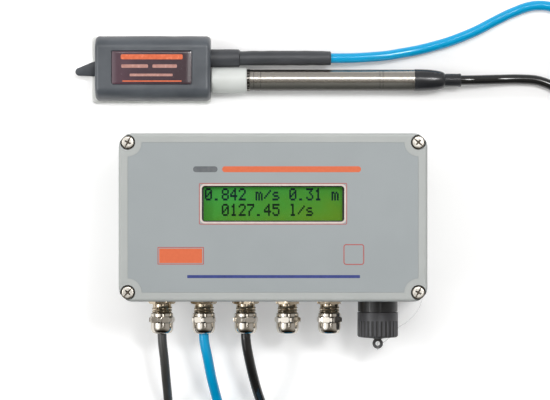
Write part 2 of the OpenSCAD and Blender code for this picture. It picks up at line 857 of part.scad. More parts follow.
module small_screws() {
    color("gray") {
        translate([0, board_y, board_top])
            at_corners(board_hole_x, board_hole_y)
                small_screw();
        translate([0, window_y, lcd_board_bottom])
            at_corners(lcd_hole_x, lcd_hole_y)
                mirror([0, 0, 1])
                    small_screw();
    }
}

module main_board() {
    color("green")
        difference() {
            translate([0, board_y, board_bottom])
                slab(board_l, board_w, board_t, 2);
            translate([0, board_y, 0])
                at_corners(board_hole_x, board_hole_y)
                    drill(small_screw_d + 2 * slack, board_bottom - cut, board_top + cut);
        }
}

// A screw terminal block with its wire ports toward the glands
module terminal_block(ways, pitch) {
    difference() {
        translate([-ways * pitch / 2, 0, 0])
            cube([ways * pitch, terminal_depth, terminal_h]);
        translate([-ways * pitch / 2 - cut, -cut, terminal_step.y])
            cube([ways * pitch + 2 * cut, terminal_step.x + cut, terminal_h]);
        for (i = [0:ways - 1])
            translate([(i - (ways - 1) / 2) * pitch, 0, 0]) {
                translate([-port.x / 2, -cut, port_z])
                    cube([port.x, port.y + cut, port.z]);
                translate([0, port_screw_y, 0])
                    drill(port_screw_d, terminal_h - port_screw_depth, terminal_h + cut);
            }
    }
}

module terminal_blocks() {
    color("seagreen")
        for (i = [0:terminal_bays - 1])
            translate([
                (i - (terminal_bays - 1) / 2) * terminal_bay, board_front_y + terminal_inset, board_top
            ])
                terminal_block(terminal_ways, terminal_pitch);
}

module board_chips() {
    color("black") {
        for (chip = CHIPS)
            translate([chip[0], board_back_y - chip[1], board_top])
                slab(chip[2], chip[3], chip_h, 0.3);
        translate([driver_x, board_front_y + part_row, board_top])
            slab(driver.x, driver.y, chip_h, 0.3);
        for (x = [-1, 1])
            translate([x * (board_l / 2 - relay_inset), board_front_y + part_row, board_top])
                slab(relay.x, relay.y, relay.z, 0.5);
    }
}

module board_capacitors() {
    color("navy")
        for (i = [0:capacitor_count - 1])
            translate([capacitor_x + i * capacitor_pitch, board_front_y + part_row, board_top])
                drill(capacitor_d, 0, capacitor_h);
}

module power_module() {
    color("dimgray")
        translate([board_l / 2 - module_inset.x, board_back_y - module_inset.y, board_top])
            slab(module_size.x, module_size.y, module_size.z, 1);
}

// The flat cable between the two boards, with a plug on each end
module ribbon_cable() {
    bottom = board_top + ribbon_plug_h;
    top = lcd_board_bottom - ribbon_top_plug_h;
    far_y = board_back_y - ribbon_inset;
    near_y = window_y + lcd_board_w / 2 - ribbon_lcd_inset;
    half = ribbon_t / 2;
    rise = (top - bottom) / 3;
    bow = 8;
    color("lightgray")
        translate([ribbon_x - ribbon_w / 2, 0, 0])
            rotate([90, 0, 90])
                linear_extrude(ribbon_w)
                    union() {
                        translate([far_y - ribbon_plug_w / 2, board_top])
                            square([ribbon_plug_w, ribbon_plug_h]);
                        translate([near_y - ribbon_plug_w / 2, top])
                            square([ribbon_plug_w, ribbon_top_plug_h]);
                        polygon([
                            [far_y - half, bottom - half], [far_y + half, bottom - half],
                            [far_y + half + bow / 2, bottom + rise], [near_y + half + bow, top - rise],
                            [near_y + half, top + half], [near_y - half, top + half],
                            [near_y - half + bow, top - rise], [far_y - half + bow / 2, bottom + rise]
                        ]);
                    }
}

module gland_body(i) {
    color("lightgray")
        on_gland_wall(gland_x(i))
            difference() {
                union() {
                    drill(gland_thread_d, -thread_inside, gland_hex_start);
                    translate([0, 0, gland_hex_start])
                        hexagon(gland_af, gland_flange_t);
                    drill(gland_neck_d, gland_hex_end - cut, neck_end);
                    drill(gland_rear_d, neck_end, rear_end);
                }
                drill(gland_bore_d, -thread_inside - cut, rear_end + cut);
            }
}

module gland_nut(i) {
    corner_r = (nut_d - nut_end_d) / 2;
    dome_r = nut_end - nut_hex_end - dome_straight;
    color("gainsboro")
        on_gland_wall(gland_x(i))
            difference() {
                union() {
                    drill(nut_d, nut_start, nut_hex_end);
                    translate([0, 0, nut_collar_end])
                        hexagon(gland_af, nut_hex_end - nut_collar_end);
                    rotate_extrude($fn = round_fn)
                        polygon(concat(
                            [[0, nut_hex_end - cut], [nut_d / 2, nut_hex_end - cut]],
                            [for (a = [0:15:90]) [
                                nut_end_d / 2 + corner_r * cos(a),
                                nut_hex_end + dome_straight + dome_r * sin(a)
                            ]],
                            [[0, nut_end]]
                        ));
                }
                drill(gland_rear_d + 2 * slack, nut_start - cut, rear_end + slack);
                drill(nut_d - 2 * nut_wall, rear_end, mouth_start);
                drill(nut_mouth_d, mouth_start - cut, nut_end + cut);
            }
}

module gland_seals() {
    color("black")
        for (i = [1:gland_count])
            on_gland_wall(gland_x(i))
                difference() {
                    union() {
                        drill(gland_bore_d - 2 * slack, seal_start, rear_end + slack);
                        drill(nut_d - 2 * nut_wall - 2 * slack, rear_end + slack, seal_shoulder_end);
                        drill(nut_mouth_d - 2 * slack, seal_shoulder_end - cut, seal_end);
                    }
                    drill(SEAL_BORES[i - 1] + 2 * cable_gap, seal_start - cut, seal_end + cut);
                }
}

module gland_washers() {
    color("black")
        for (i = [1:gland_count])
            on_gland_wall(gland_x(i))
                difference() {
                    drill(gland_af, 0, washer_t);
                    drill(gland_thread_d + 2 * slack, -cut, washer_t + cut);
                }
}

module gland_locknuts() {
    color("lightgray")
        for (i = [1:gland_count])
            on_gland_wall(gland_x(i))
                difference() {
                    translate([0, 0, -wall - locknut_t])
                        rotate(30)
                            hexagon(locknut_af, locknut_t);
                    drill(gland_thread_d + 2 * slack, -wall - locknut_t - cut, cut);
                }
}

module blanking_plugs() {
    color("dimgray")
        for (i = [4:gland_count])
            on_gland_wall(gland_x(i))
                drill(blank_d, seal_start, seal_end - blank_in);
}

module socket_body() {
    color("#333333")
        on_gland_wall(socket_x)
            difference() {
                union() {
                    drill(socket_panel_d, -socket_inside, washer_t);
                    drill(socket_d, washer_t, flange_end);
                    drill(socket_front_d, flange_end - cut, front_end);
                }
                drill(insert_d + 2 * slack, insert_seat, front_end + cut);
                drill(insert_d - 2 * insert_ledge, -socket_inside - cut, front_end);
            }
}

module socket_washer() {
    color("black")
        on_gland_wall(socket_x)
            difference() {
                drill(socket_d - 2, 0, washer_t);
                drill(socket_panel_d + 2 * slack, -cut, washer_t + cut);
            }
}

module socket_nut() {
    color("gray")
        on_gland_wall(socket_x)
            difference() {
                translate([0, 0, -wall - locknut_t])
                    rotate(30)
                        hexagon(socket_nut_af, locknut_t);
                drill(socket_panel_d + 2 * slack, -wall - locknut_t - cut, cut);
            }
}

module at_pins() {
    children();
    for (i = [1:pin_count])
        rotate(360 * i / pin_count)
            translate([insert_d * 0.3, 0, 0])
                children();
}

module socket_insert() {
    color("#222222")
        on_gland_wall(socket_x)
            difference() {
                drill(insert_d, insert_seat, front_end - insert_back);
                at_pins()
                    drill(pin_d + 2 * slack, washer_t, front_end);
            }
}

module socket_pins() {
    color("gold")
        on_gland_wall(socket_x)
            at_pins()
                drill(pin_d, 0, front_end - pin_tip_in);
}

module cap_ring() {
    inner_d = socket_front_d + 2 * running_gap;
    color("#333333")
        on_gland_wall(socket_x)
            difference() {
                rotate_extrude($fn = round_fn)
                    polygon(concat(
                        [[inner_d / 2, cap_start], [cap_d / 2, cap_start]],
                        arc([cap_d / 2 - cap_round, cap_end - cap_round], cap_round, 0, 80, 4),
                        [
                            [stem_d / 2 + 1, cap_end + cap_cone],
                            [stem_d / 2 + running_gap, cap_end + cap_cone],
                            [stem_d / 2 + running_gap, plate_start], [inner_d / 2, plate_start]
                        ]
                    ));
                for (i = [0:flute_count - 1])
                    rotate(360 * i / flute_count)
                        translate([cap_d / 2 + 0.5, 0, 0])
                            drill(1 + 2 * flute_depth, cap_start + band_l, cap_end + cut);
            }
}

module cap_plug() {
    color("#3a3a3a")
        on_gland_wall(socket_x) {
            drill(socket_front_d - 2 * running_gap, plug_start, plug_start + plug_t);
            drill(stem_d, plug_start, cap_end + cap_cone + stem_out);
            translate([0, eye_t / 2, 0])
                rotate([90, 0, 0])
                    linear_extrude(eye_t)
                        difference() {
                            union() {
                                translate([0, eye_out])
                                    circle(d = eye_d, $fn = round_fn);
                                translate([-eye_neck / 2, cap_end])
                                    square([eye_neck, eye_out - cap_end]);
                            }
                            translate([0, eye_out])
                                circle(d = eye_hole_d, $fn = round_fn);
                        }
        }
}

module cap_seal() {
    color("black")
        on_gland_wall(socket_x)
            difference() {
                drill(socket_front_d - 2 * running_gap, cap_seal_start, plug_start);
                drill(insert_d, cap_seal_start - cut, plug_start + cut);
            }
}

module cap_lanyard() {
    color("aliceblue")
        route_tube(LINE_PATH, line_d, line_sides);
}

module lanyard_anchor() {
    color("lightgray")
        translate([wall_x, anchor_y, anchor_z])
            rotate([0, 90, 0])
                difference() {
                    union() {
                        drill(anchor_pin_d, -anchor_pin_l, 0);
                        drill(anchor_head_d, 0, anchor_head_t);
                    }
                    translate([0, 0, anchor_head_t])
                        cube([anchor_slot_w, anchor_head_d + cut, 2 * anchor_slot_depth], center = true);
                }
}

// The probe's cross-section: a flat top with round shoulders that fall to steep sides
module probe_section() {
    side = probe_w / 2 - side_lip;
    flat = probe_top_w / 2;
    polygon(concat(
        [[-side, 0], [side, 0]],
        [for (a = [0:10:90]) [flat + (side - flat) * cos(a), shoulder_z + (probe_h - shoulder_z) * sin(a)]],
        [for (a = [90:-10:0]) [-flat - (side - flat) * cos(a), shoulder_z + (probe_h - shoulder_z) * sin(a)]]
    ));
}

// The probe's side view: its ends lean in a little and turn into the top by a small round
module probe_side() {
    x0 = probe_x0 + end_lip;
    x1 = probe_x1 - right_lip;
    polygon(concat(
        [[x0, 0], [x1, 0]],
        arc([x1 - probe_lean - probe_edge_r, probe_h - probe_edge_r], probe_edge_r, 0, 90, 5),
        arc([x0 + probe_lean + probe_edge_r, probe_h - probe_edge_r], probe_edge_r, 90, 180, 5)
    ));
}

module velocity_body() {
    mid_x = (probe_x0 + probe_x1) / 2;
    color("slategray") difference() {
        union() {
            translate([mid_x, probe_y, 0])
                slab(probe_l, probe_w, foot_t, probe_corner_r);
            intersection() {
                translate([probe_x0, probe_y, 0])
                    rotate([90, 0, 90])
                        linear_extrude(probe_l)
                            probe_section();
                translate([0, probe_y + probe_w / 2, 0])
                    rotate([90, 0, 0])
                        linear_extrude(probe_w)
                            probe_side();
            }
            translate([probe_x0, probe_y, 0])
                linear_extrude(lug_t)
                    lug_plan();
        }
        translate([label_x, label_y, probe_h - label_depth])
            slab(label_l, label_w, label_depth + cut, label_r);
        translate([probe_x1 - boot_in, boot_y, boot_z])
            rotate([0, 90, 0])
                drill(boot_d + 2 * slack, 0, boot_in + cut);
        at_crystals()
            cylinder(h = crystal_t + 2 * slack, d = crystal_d + 2 * slack, center = true, $fn = round_fn);
    }
}

// The tow lug on the upstream end: one edge slopes to a round tip
module lug_plan() {
    tip = -lug_l + lug_r;
    translate([tip, -lug_r / 2])
        circle(r = lug_r, $fn = round_fn);
    polygon([
        [tip - 0.9, lug_r / 2 - 0.13], [tip, -lug_r / 2 - lug_r], [end_lip + 1, -lug_r / 2 - lug_r],
        [end_lip + 1, 6], [0, 5.2]
    ]);
}

// The two transducers lean toward the oncoming flow
module at_crystals() {
    for (s = [-1, 1])
        translate([probe_x0 + crystal_inset, probe_y + s * crystal_gap / 2, probe_h / 2 - 1])
            rotate([0, -crystal_lean, 0])
                children();
}

module velocity_crystals() {
    color("khaki")
        at_crystals()
            cylinder(h = crystal_t, d = crystal_d, center = true, $fn = round_fn);
}

module velocity_label() {
    color("indigo")
        translate([label_x, label_y, probe_h - label_depth])
            slab(label_l - 2 * slack, label_w - 2 * slack, label_t, label_r - slack);
}

module velocity_boot() {
    color("dimgray")
        translate([probe_x1, boot_y, boot_z])
            rotate([0, 90, 0])
                difference() {
                    drill(boot_d, slack - boot_in, boot_l);
                    drill(velocity_d + 2 * cable_gap, -boot_in - cut, boot_l + cut);
                }
}

module velocity_sleeve() {
    color("dimgray")
        translate([probe_x1 + boot_l, boot_y, boot_z])
            rotate([0, 90, 0])
                difference() {
                    drill(sleeve_d, 0, sleeve_l);
                    drill(velocity_d + 2 * cable_gap, -cut, sleeve_l + cut);
                }
}

module depth_nose() {
    color("white")
        on_depth_axis(nose_x0)
            difference() {
                rotate_extrude($fn = round_fn)
                    polygon([
                        [0, 0], [nose_d / 2 - nose_edge, 0], [nose_d / 2, nose_edge],
                        [nose_d / 2, nose_l - nose_edge], [nose_d / 2 - nose_edge, nose_l], [0, nose_l]
                    ]);
                drill(nose_port_d, -cut, nose_l);
                drill(tube_bore, nose_socket_in, nose_l + cut);
            }
}

module depth_ring() {
    color("dimgray")
        on_depth_axis(nose_x1)
            difference() {
                drill(tube_d + ring_out, 0, ring_l);
                drill(tube_bore, -cut, ring_l + cut);
                for (i = [0:ring_slots - 1])
                    rotate(360 * i / ring_slots)
                        translate([tube_d / 2 - slot_in, -slot_size.y / 2, -cut])
                            cube([slot_size.x, slot_size.y, ring_l - ring_web + cut]);
            }
}

module depth_tube() {
    color("lightgray")
        on_depth_axis(tube_x0)
            difference() {
                drill(tube_d, 0, tube_l);
                drill(tube_bore, -cut, tube_l + cut);
                for (z = groove_starts)
                    difference() {
                        drill(tube_d + cut, z, z + groove_w);
                        drill(tube_d - 2 * groove_depth, z - cut, z + cut);
                    }
            }
}

module depth_cell() {
    color("silver")
        on_depth_axis(nose_x1 - cell_in)
            difference() {
                drill(tube_bore - 2 * slack, 0, cell_l);
                drill(tube_bore - 2 * cell_rim, -cut, 1);
            }
}

module depth_boot() {
    color("#222222")
        on_depth_axis(tube_x1)
            difference() {
                union() {
                    drill(tube_bore - 2 * slack, -spigot_l, cut);
                    rotate_extrude($fn = round_fn)
                        polygon(concat(
                            [[0, 0]],
                            [for (i = [0:8]) [
                                ogive_sleeve_d / 2 + (ogive_d - ogive_sleeve_d) / 2 * cos(90 * i / 8),
                                ogive_l * sin(90 * i / 8)
                            ]],
                            [[0, ogive_l]]
                        ));
                    drill(ogive_sleeve_d, ogive_l - cut, ogive_l + ogive_sleeve_l);
                }
                drill(depth_d + 2 * cable_gap, -spigot_l - cut, ogive_l + ogive_sleeve_l + cut);
            }
}

module power_cable() {
    color("#1e1e1e") route_tube(POWER_PATH, power_d, tube_sides);
}

module power_coil() {
    color("#1e1e1e") coil_solid(POWER_WIND, POWER_CENTRE, power_d);
}

module power_tail() {
    end = TAIL_PATH[last(TAIL_PATH)];
    color("#1e1e1e") {
        route_tube(TAIL_PATH, power_d, tube_sides);
        for (i = [0:core_count - 1])
            translate([end.x + (i - (core_count - 1) / 2) * core_d, end.y + core_lap, core_d / 2 + core_rise])
                rotate([90, 0, 0])
                    drill(core_d - slack, 0, core_l + core_lap);
    }
}

module velocity_cable_a() {
    color("deepskyblue") route_tube(VELOCITY_A_PATH, velocity_d, tube_sides);
}

module velocity_coil() {
    color("deepskyblue") coil_solid(PROBE_WIND, VELOCITY_CENTRE, velocity_d);
}

module velocity_cable_b() {
    color("deepskyblue") route_tube(VELOCITY_B_PATH, velocity_d, tube_sides);
}

module depth_cable_a() {
    color("#1e1e1e") route_tube(DEPTH_A_PATH, depth_d, tube_sides);
}

module depth_coil() {
    color("#1e1e1e") coil_solid(PROBE_WIND, DEPTH_CENTRE, depth_d);
}

module depth_cable_b() {
    color("#1e1e1e") route_tube(DEPTH_B_PATH, depth_d, tube_sides);
}

enclosure_base();
enclosure_cover();
cover_gasket();
cover_screws();
front_overlay();
display_window();
lcd_bezel();
lcd_glass();
lcd_backlight();
lcd_board();
small_screws();
main_board();
terminal_blocks();
board_chips();
board_capacitors();
power_module();
ribbon_cable();
gland_body(1);  // gland_1_body
gland_body(2);  // gland_2_body
gland_body(3);  // gland_3_body
gland_body(4);  // gland_4_body
gland_body(5);  // gland_5_body
gland_nut(1);  // gland_1_nut
gland_nut(2);  // gland_2_nut
gland_nut(3);  // gland_3_nut
gland_nut(4);  // gland_4_nut
gland_nut(5);  // gland_5_nut
gland_seals();
gland_washers();
gland_locknuts();
blanking_plugs();
socket_body();
socket_washer();
socket_nut();
socket_insert();
socket_pins();
cap_ring();
cap_plug();
cap_seal();
cap_lanyard();
lanyard_anchor();
velocity_body();
velocity_label();
velocity_crystals();
velocity_boot();
velocity_sleeve();
depth_nose();
depth_ring();
depth_tube();
depth_cell();
depth_boot();
power_cable();
power_coil();
power_tail();
velocity_cable_a();
velocity_coil();
velocity_cable_b();
depth_cable_a();
depth_coil();
depth_cable_b();
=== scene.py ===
"""Looks of the area-velocity flow meter: meter box, velocity probe and depth probe, laid flat."""
import json
import math

import bmesh
import bpy
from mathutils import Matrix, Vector, noise as wobble


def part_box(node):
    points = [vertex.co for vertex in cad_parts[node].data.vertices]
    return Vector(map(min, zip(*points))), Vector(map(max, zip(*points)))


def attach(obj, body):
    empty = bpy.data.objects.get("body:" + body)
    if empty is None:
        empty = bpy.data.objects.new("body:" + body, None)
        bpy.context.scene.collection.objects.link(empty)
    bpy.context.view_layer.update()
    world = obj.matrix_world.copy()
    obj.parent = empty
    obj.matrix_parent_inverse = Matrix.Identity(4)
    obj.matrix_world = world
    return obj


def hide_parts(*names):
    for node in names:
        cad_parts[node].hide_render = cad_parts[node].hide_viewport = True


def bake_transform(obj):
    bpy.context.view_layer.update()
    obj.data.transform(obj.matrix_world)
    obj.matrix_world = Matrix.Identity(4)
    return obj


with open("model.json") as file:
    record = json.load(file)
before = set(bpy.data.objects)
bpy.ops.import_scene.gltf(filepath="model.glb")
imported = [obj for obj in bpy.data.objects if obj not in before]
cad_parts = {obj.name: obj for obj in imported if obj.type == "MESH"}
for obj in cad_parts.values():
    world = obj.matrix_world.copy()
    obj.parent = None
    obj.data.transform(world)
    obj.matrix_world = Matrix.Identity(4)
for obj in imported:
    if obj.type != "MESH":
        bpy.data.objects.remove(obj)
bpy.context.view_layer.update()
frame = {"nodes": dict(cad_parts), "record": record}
MM = 0.001

# Camera: straight above the set, at the photograph's distance and scale
CAMERA_X = 1.4 * MM
CAMERA_Y = 12.4 * MM
CAMERA_HEIGHT = 2.0
CAMERA_REACH = 10
FLOOR_PX_PER_MM = 1.349
PHOTO_W = 550
SENSOR_MM = 36.0

# Studio: lamps by place, length, width and power, and the world's soft patches by direction,
# the angles that each is full within and gone beyond, and level
LAMPS = (
    ("key", (0.74, 0.60, 2.0), 0.42, 0.42, 14.2),
    ("far_strip", (0.10, 0.80, 1.95), 1.20, 0.16, 8.0),
    ("left_strip", (-1.35, 0.10, 1.25), 1.00, 0.17, 6.5),
)
STUDIO_LEVEL = 0.345
LOBES = (
    ((-0.69, 0.05, 0.72), 22, 32, 1.1),
    ((0.24, 0.00, 0.97), 2, 5, 5.0),
    ((0.10, 0.95, 0.35), 25, 70, 0.30),
    ((0.95, 0.05, 0.45), 15, 50, 0.15),
    ((0.00, 0.00, 1.00), 3, 8, -0.25),
    ((0.45, 0.00, 0.89), 4, 12, -0.22),
    ((0.99, 0.00, 0.14), 3, 8, -0.22),
    ((0.00, -1.00, 0.20), 32, 75, -0.34),
)
FLOOR_SIZE = 6
FLOOR_Z = -0.0002
FLOOR_COLOUR = 0.86
FLOOR_GLOW = 0.30
# The share of the glow that is left out round the depth probe, as painted shade that makes the shadows there
# deeper, and the places between which that comes in and goes out again
DEEP_SHARE = 0.75
DEEP_START_X = (-0.060, -0.045)
DEEP_START_Y = (0.078, 0.090)
DEEP_END_Y = (0.118, 0.140)

# Cables: diameters, routes outside the coils in millimetres, and the coils
POWER_D = 6.6
VELOCITY_D = 7.4
DEPTH_D = 7.2
POWER_ROUTE = [
    (-81, -68, 32), (-81, -86, 32), (-80.7, -92, 31.8), (-79.6, -102, 30.2), (-78.5, -117, 24.5),
    (-77.4, -134, 13.5), (-77.2, -150, 6.3), (-77.6, -168, 3.3), (-78.4, -186, 3.3),
]
TAIL_ROUTE = [
    (-78.4, -186, 9.9), (-78.2, -196, 9.3), (-78, -206, 7.4), (-78, -216, 5.2), (-78, -226, 3.7),
    (-78, -236, 3.3), (-78, -248, 3.3),
]
VELOCITY_A_ROUTE = [
    (-50.5, -68, 32), (-50.5, -86, 32), (-50, -92, 31.8), (-48, -102, 30.2), (-45.3, -117, 24.5),
    (-41.4, -134, 14), (-37.6, -150, 6.9), (-35.2, -168, 3.7), (-34.9, -186, 3.7), (-35.9, -234, 3.7),
]
VELOCITY_B_ROUTE = [
    (27, -296.9, 40.7), (48, -296.9, 37.4), (73, -297, 25.6), (98, -297.2, 11.2), (120, -298, 4.4),
    (140, -298.6, 3.7), (192, -299, 3.7), (209, -295.6, 3.7), (223, -286, 3.7), (232.5, -272, 3.7),
    (236, -255, 3.7), (236, -150, 3.7), (236, -20, 3.7), (236, 118, 3.7), (232, 134, 3.7),
    (222, 147, 3.7), (207, 155, 3.7), (192, 156, 3.7), (177, 151, 3.7), (163, 144.2, 3.7),
    (149.5, 137.2, 3.7), (131, 129.8, 3.7), (118, 126, 3.8), (105, 122.8, 4.5), (94, 120.8, 5.8),
    (84, 119.1, 7.2), (71, 117.9, 8.4), (58, 117.2, 9), (44, 117.1, 9), (30, 117.1, 9),
]
DEPTH_A_ROUTE = [
    (-20, -68, 32), (-20, -86, 32), (-19.6, -92, 31.8), (-17.8, -102, 30.2), (-14.5, -117, 24.5),
    (-9.8, -134, 14), (-4.6, -145, 8.4), (3.5, -153.2, 4.9), (14, -158.2, 3.7), (26, -159.8, 3.6),
    (48, -160, 3.6), (103, -160, 3.6), (161.5, -160, 3.6),
]
DEPTH_B_ROUTE = [
    (161.5, -160, 39.6), (172, -159.7, 38.9), (184, -157, 36.2), (197, -151.5, 31.2),
    (208, -143.5, 24.4), (216.5, -132.5, 17), (222, -120, 10.6), (224.6, -107, 6.2), (225, -94, 4),
    (225, -80, 3.6), (225, -10, 3.6), (225, 66, 3.6), (221.5, 81.5, 3.6), (211, 94, 3.6),
    (197, 100.5, 3.6), (182, 101.8, 3.6), (168, 101.6, 4.4), (156, 101.2, 6.8), (147, 100.9, 8.8),
    (140, 100.8, 9.4), (134, 100.8, 9.4), (128, 100.8, 9.4),
]
# Coils: centre, middle radius of the turns, turns side by side, layers, first angle, turn sense
POWER_COIL = ((-124.27, -186), 35.97, 4, 2, 0, -1)
VELOCITY_COIL = ((27, -234), 48.1, 5, 6, 180, 1)
DEPTH_COIL = ((161.5, -221.2), 46.8, 5, 6, 90, -1)
# The part of each turn in which it shifts to the next place, and the points in a turn
SHIFT_SHARE = 0.2
TURN_POINTS = 56
# The last turn of the velocity cable's coil goes this much of a turn less
VELOCITY_SHORT = 0.75
# Spacing of the points on the cables outside their coils, and on the cap's line
CABLE_STEP = 4
LINE_STEP = 1.0
# Angles at which each coil is tied, in degrees, and the strap's width and thickness
TIE_ANGLES = (35, 215)
TIE_W = 4.6
TIE_T = 1.2
TIE_LOCK_H = 2.8
# Cores at the power cable's bare end: colours, diameter, length and the stripped part of it
CORE_COLOURS = ((0.5, 0.02, 0.02), (0.02, 0.02, 0.5), (0.03, 0.3, 0.05), (0.6, 0.5, 0.03))
CORE_D = 1.5
CORE_LEN = 34
CORE_BARE = 8

# The cap's line, from its loop through the eye to the anchor
LINE_D = 1.1
LINE_ROUTE = [
    (76.3, -94.2, 28.6), (76.3, -96.1, 29.1), (76.3, -97, 30.7), (76.3, -97, 33.2),
    (76.3, -96.4, 34.5), (76.3, -95, 34.9), (76.3, -93.3, 34.4), (76.3, -93.1, 33.2),
    (76.3, -93.1, 30.8), (76.3, -92.9, 29.4), (76.6, -91.9, 26.5), (79.5, -92.6, 20.5),
    (83.5, -90.6, 15.5), (88.5, -85.8, 13.6), (92.6, -81.1, 14.2), (96.2, -78.8, 16),
    (100.4, -75.4, 19.6), (104, -71.2, 23.6), (106.6, -66.6, 27.2), (108.3, -62, 30),
    (109.2, -58, 31.5), (109.6, -54.3, 32),
]

# Glands, in millimetres out from the wall that they are screwed into
GLAND_AF = 17.0
GLAND_CORNER_DROP = 0.75
GLAND_INSIDE = 8.0
FLANGE = (1.0, 5.0)
NECK_R = 6.8
NECK_END = 6.8
THREAD_R = 7.5
THREAD_DEPTH = 0.62
THREAD_PITCH = 1.9
ENTRY_R = 7.6
BORE_R = 5.3
NUT_COLLAR_END = 14.1
NUT_HEX_END = 18.4
NUT_R = 8.3
NUT_END_R = 5.8
NUT_MOUTH_R = 4.8
NUT_HOLLOW_R = 6.5
DOME_STRAIGHT = 3.0
# Points round each gland
GLAND_STEPS = 144
# The angle of one corner of each dome nut, as the photograph shows them
NUT_TURNS = (100, 90, 98, 73, 80)
FLANGE_TURN = 17

# Cover screws: side, side and turn of the recess, and the head's form
SCREW_TURNS = ((-1, 1, 62), (1, 1, -42), (-1, -1, 48), (1, -1, 62))
SCREW_X = 103.5
SCREW_Y = 53.5
SCREW_HEAD_R = 4.6
SCREW_HEAD_H = 4.5
SCREW_CROWN = 0.9
# Radius beyond which the screw head's rim takes painted shade
SCREW_RIM_SHADE_R = 4.1
SCREW_R = 2.8
SLOT_W = 0.8
SLOT_DEPTH = 0.5
CROSS_L = 4.6
CROSS_W = 1.1
CROSS_DEPTH = 2.0

# Print on the front, in millimetres: middle, length, width and corner radius of each plain form
# that stands where lettering is, and the window's length and width. Ink on the display and on the
# label is lifted a little.
INK_T = 0.04
PRINT_LIFT = 0.02
LABEL_LIFT = 0.03
ORANGE_BAR = (13.2, 34.3, 98.8, 4.2, 2)
GREY_BAR = (-48.2, 34.3, 17.4, 4.2, 2)
NAVY_RULE = (0.4, -42.1, 123, 2.2, 0.5)
FIELD = (-65.7, -27.3, 30.6, 10.3, 0.3)
SQUARE = (57.5, -26.4, 14.8, 14.8, 2.0)
WINDOW_SIZE = (101.4, 25.6)

# Display: the dots of a usual two-line display, and a made-up reading
DOT_PITCH = (0.98, 1.22)
DOT_FILL = 1.22
CHARACTER_PITCH = 6.03
ROW_TOPS = (20.7, 9.6)
FIRST_CHARACTER_X = -48.6
READING = ("0.842 m/s 0.31 m", "  0127.45 l/s   ")
# The places in metres between which the display's green changes
DISPLAY_ACROSS = (-0.05, 0.05)
DISPLAY_UP = (-0.003, 0.022)
# Each character is seven rows of five dots, one hexadecimal pair a row
FONT = {
    "0": "0e11131519110e", "1": "040c040404040e", "2": "0e11010204081f", "3": "1f02040201110e",
    "4": "02060a121f0202", "5": "1f101e0101110e", "7": "1f010204080808", "8": "0e11110e11110e",
    ".": "0000000000000c", "/": "00010204081000", "m": "00001a15151515", "s": "00000e100e011e",
    "l": "0c04040404040e",
}

# Velocity probe, in millimetres
PROBE_L = 88.0
PROBE_W = 49.6
PROBE_FLAT = 30.0
FOOT_T = 4.0
END_LIP = 3.0
SIDE_LIP = 0.9
RIGHT_LIP = 0.1
BLOCK_SHIFT = 0.8
SHOULDER_Z = 8.0
END_ROUND = 3.2
FOOT_CORNER = 2.5
# How far the foot's edge is drawn in, and at which height
FOOT_EDGE = ((0.5, 0), (0, 0.5), (0, FOOT_T - 1.1), (0.15, FOOT_T - 0.6), (0.5, FOOT_T - 0.2), (1.1, FOOT_T))
# How far the soft sides and top wander, and how fast along X, and along Y for the top
SIDE_WAVE = (0.2, 0.06)
TOP_WAVE = (0.35, 0.055, 0.07)
# Heights in metres between which the rubber's painted shade on its low sides gives way to its lighter top,
# and where the foot's painted highlight ends
SIDE_SHADE_Z = (0.013, 0.0188)
FOOT_HIGHLIGHT_Z = (0.0048, 0.0042)
LABEL_DEPTH = 1.2
LABEL_GAP = 0.3
LABEL_R = 1.4
LABEL_CROWN = 0.6
LABEL_SLOPE = (5.0, 1.6)
# The places in metres between which the label gets less red
LABEL_ACROSS = (-0.1185, -0.06)
# Spacing of the points on the probe's top
GRID = 0.55
LUG_TIP_R = 3.0
LUG_T = 9.0
# The share of its size that the lug's outline has at each height
LUG_EDGE = ((0.94, 0), (1, 0.5), (1, LUG_T - 1.6), (0.97, LUG_T - 0.7), (0.9, LUG_T - 0.15), (0.78, LUG_T))
# Bars on the label where lettering is: middle, length and height
LABEL_ORANGE = ((-89.0, 117.4, 45.4, 3.7), (-88.8, 99.6, 43.4, 0.9))
LABEL_PINK = ((-101.5, 110.6, 19.6, 2.5), (-79.5, 110.6, 18.0, 2.5), (-89.4, 104.1, 31.5, 1.9))

# Rubber shrunk on the velocity cable: node, piece, crown, end lip, unevenness and where in the
# noise that starts
RUBBERS = (
    ("velocity_boot", "velocity_boot_rubber", 0.15, 0.7, 0.22, 2.0),
    ("velocity_sleeve", "velocity_sleeve_rubber", 0.12, 0.35, 0.3, 5.0),
)

# Depth probe's boot, in millimetres, and the shares of its tube's radius between which painted shade darkens
# it
TUBE_SHADE = (0.25, 0.9)
OGIVE_L = 22.5
OGIVE_R = 8.1
OGIVE_POWER = 2.4
SPIGOT_R = 6.6
SLEEVE_R = 4.8

# Axes of turned pieces: across, up and along
OUT_OF_WALL = (Vector((1, 0, 0)), Vector((0, 0, 1)), Vector((0, -1, 0)))
ALONG_X = (Vector((0, 1, 0)), Vector((0, 0, 1)), Vector((1, 0, 0)))
UPWARD = (Vector((1, 0, 0)), Vector((0, 1, 0)), Vector((0, 0, 1)))
CORNERS = ((-1, -1), (1, -1), (1, 1), (-1, 1))

# Every material by its name
MATERIALS = {}


def add_object(name, data):
    """Adds an object to the scene."""
    added = bpy.data.objects.new(name, data)
    bpy.context.collection.objects.link(added)
    return added


def make_camera():
    """Camera that sees the floor at the photograph's scale."""
    bpy.context.scene.view_settings.view_transform = "Standard"
    data = bpy.data.cameras.new("camera")
    data.sensor_width = SENSOR_MM
    data.lens = SENSOR_MM * CAMERA_HEIGHT * FLOOR_PX_PER_MM / (PHOTO_W * MM)
    data.clip_end = CAMERA_REACH
    camera = add_object("camera", data)
    camera.location = (CAMERA_X, CAMERA_Y, CAMERA_HEIGHT)
    bpy.context.scene.camera = camera


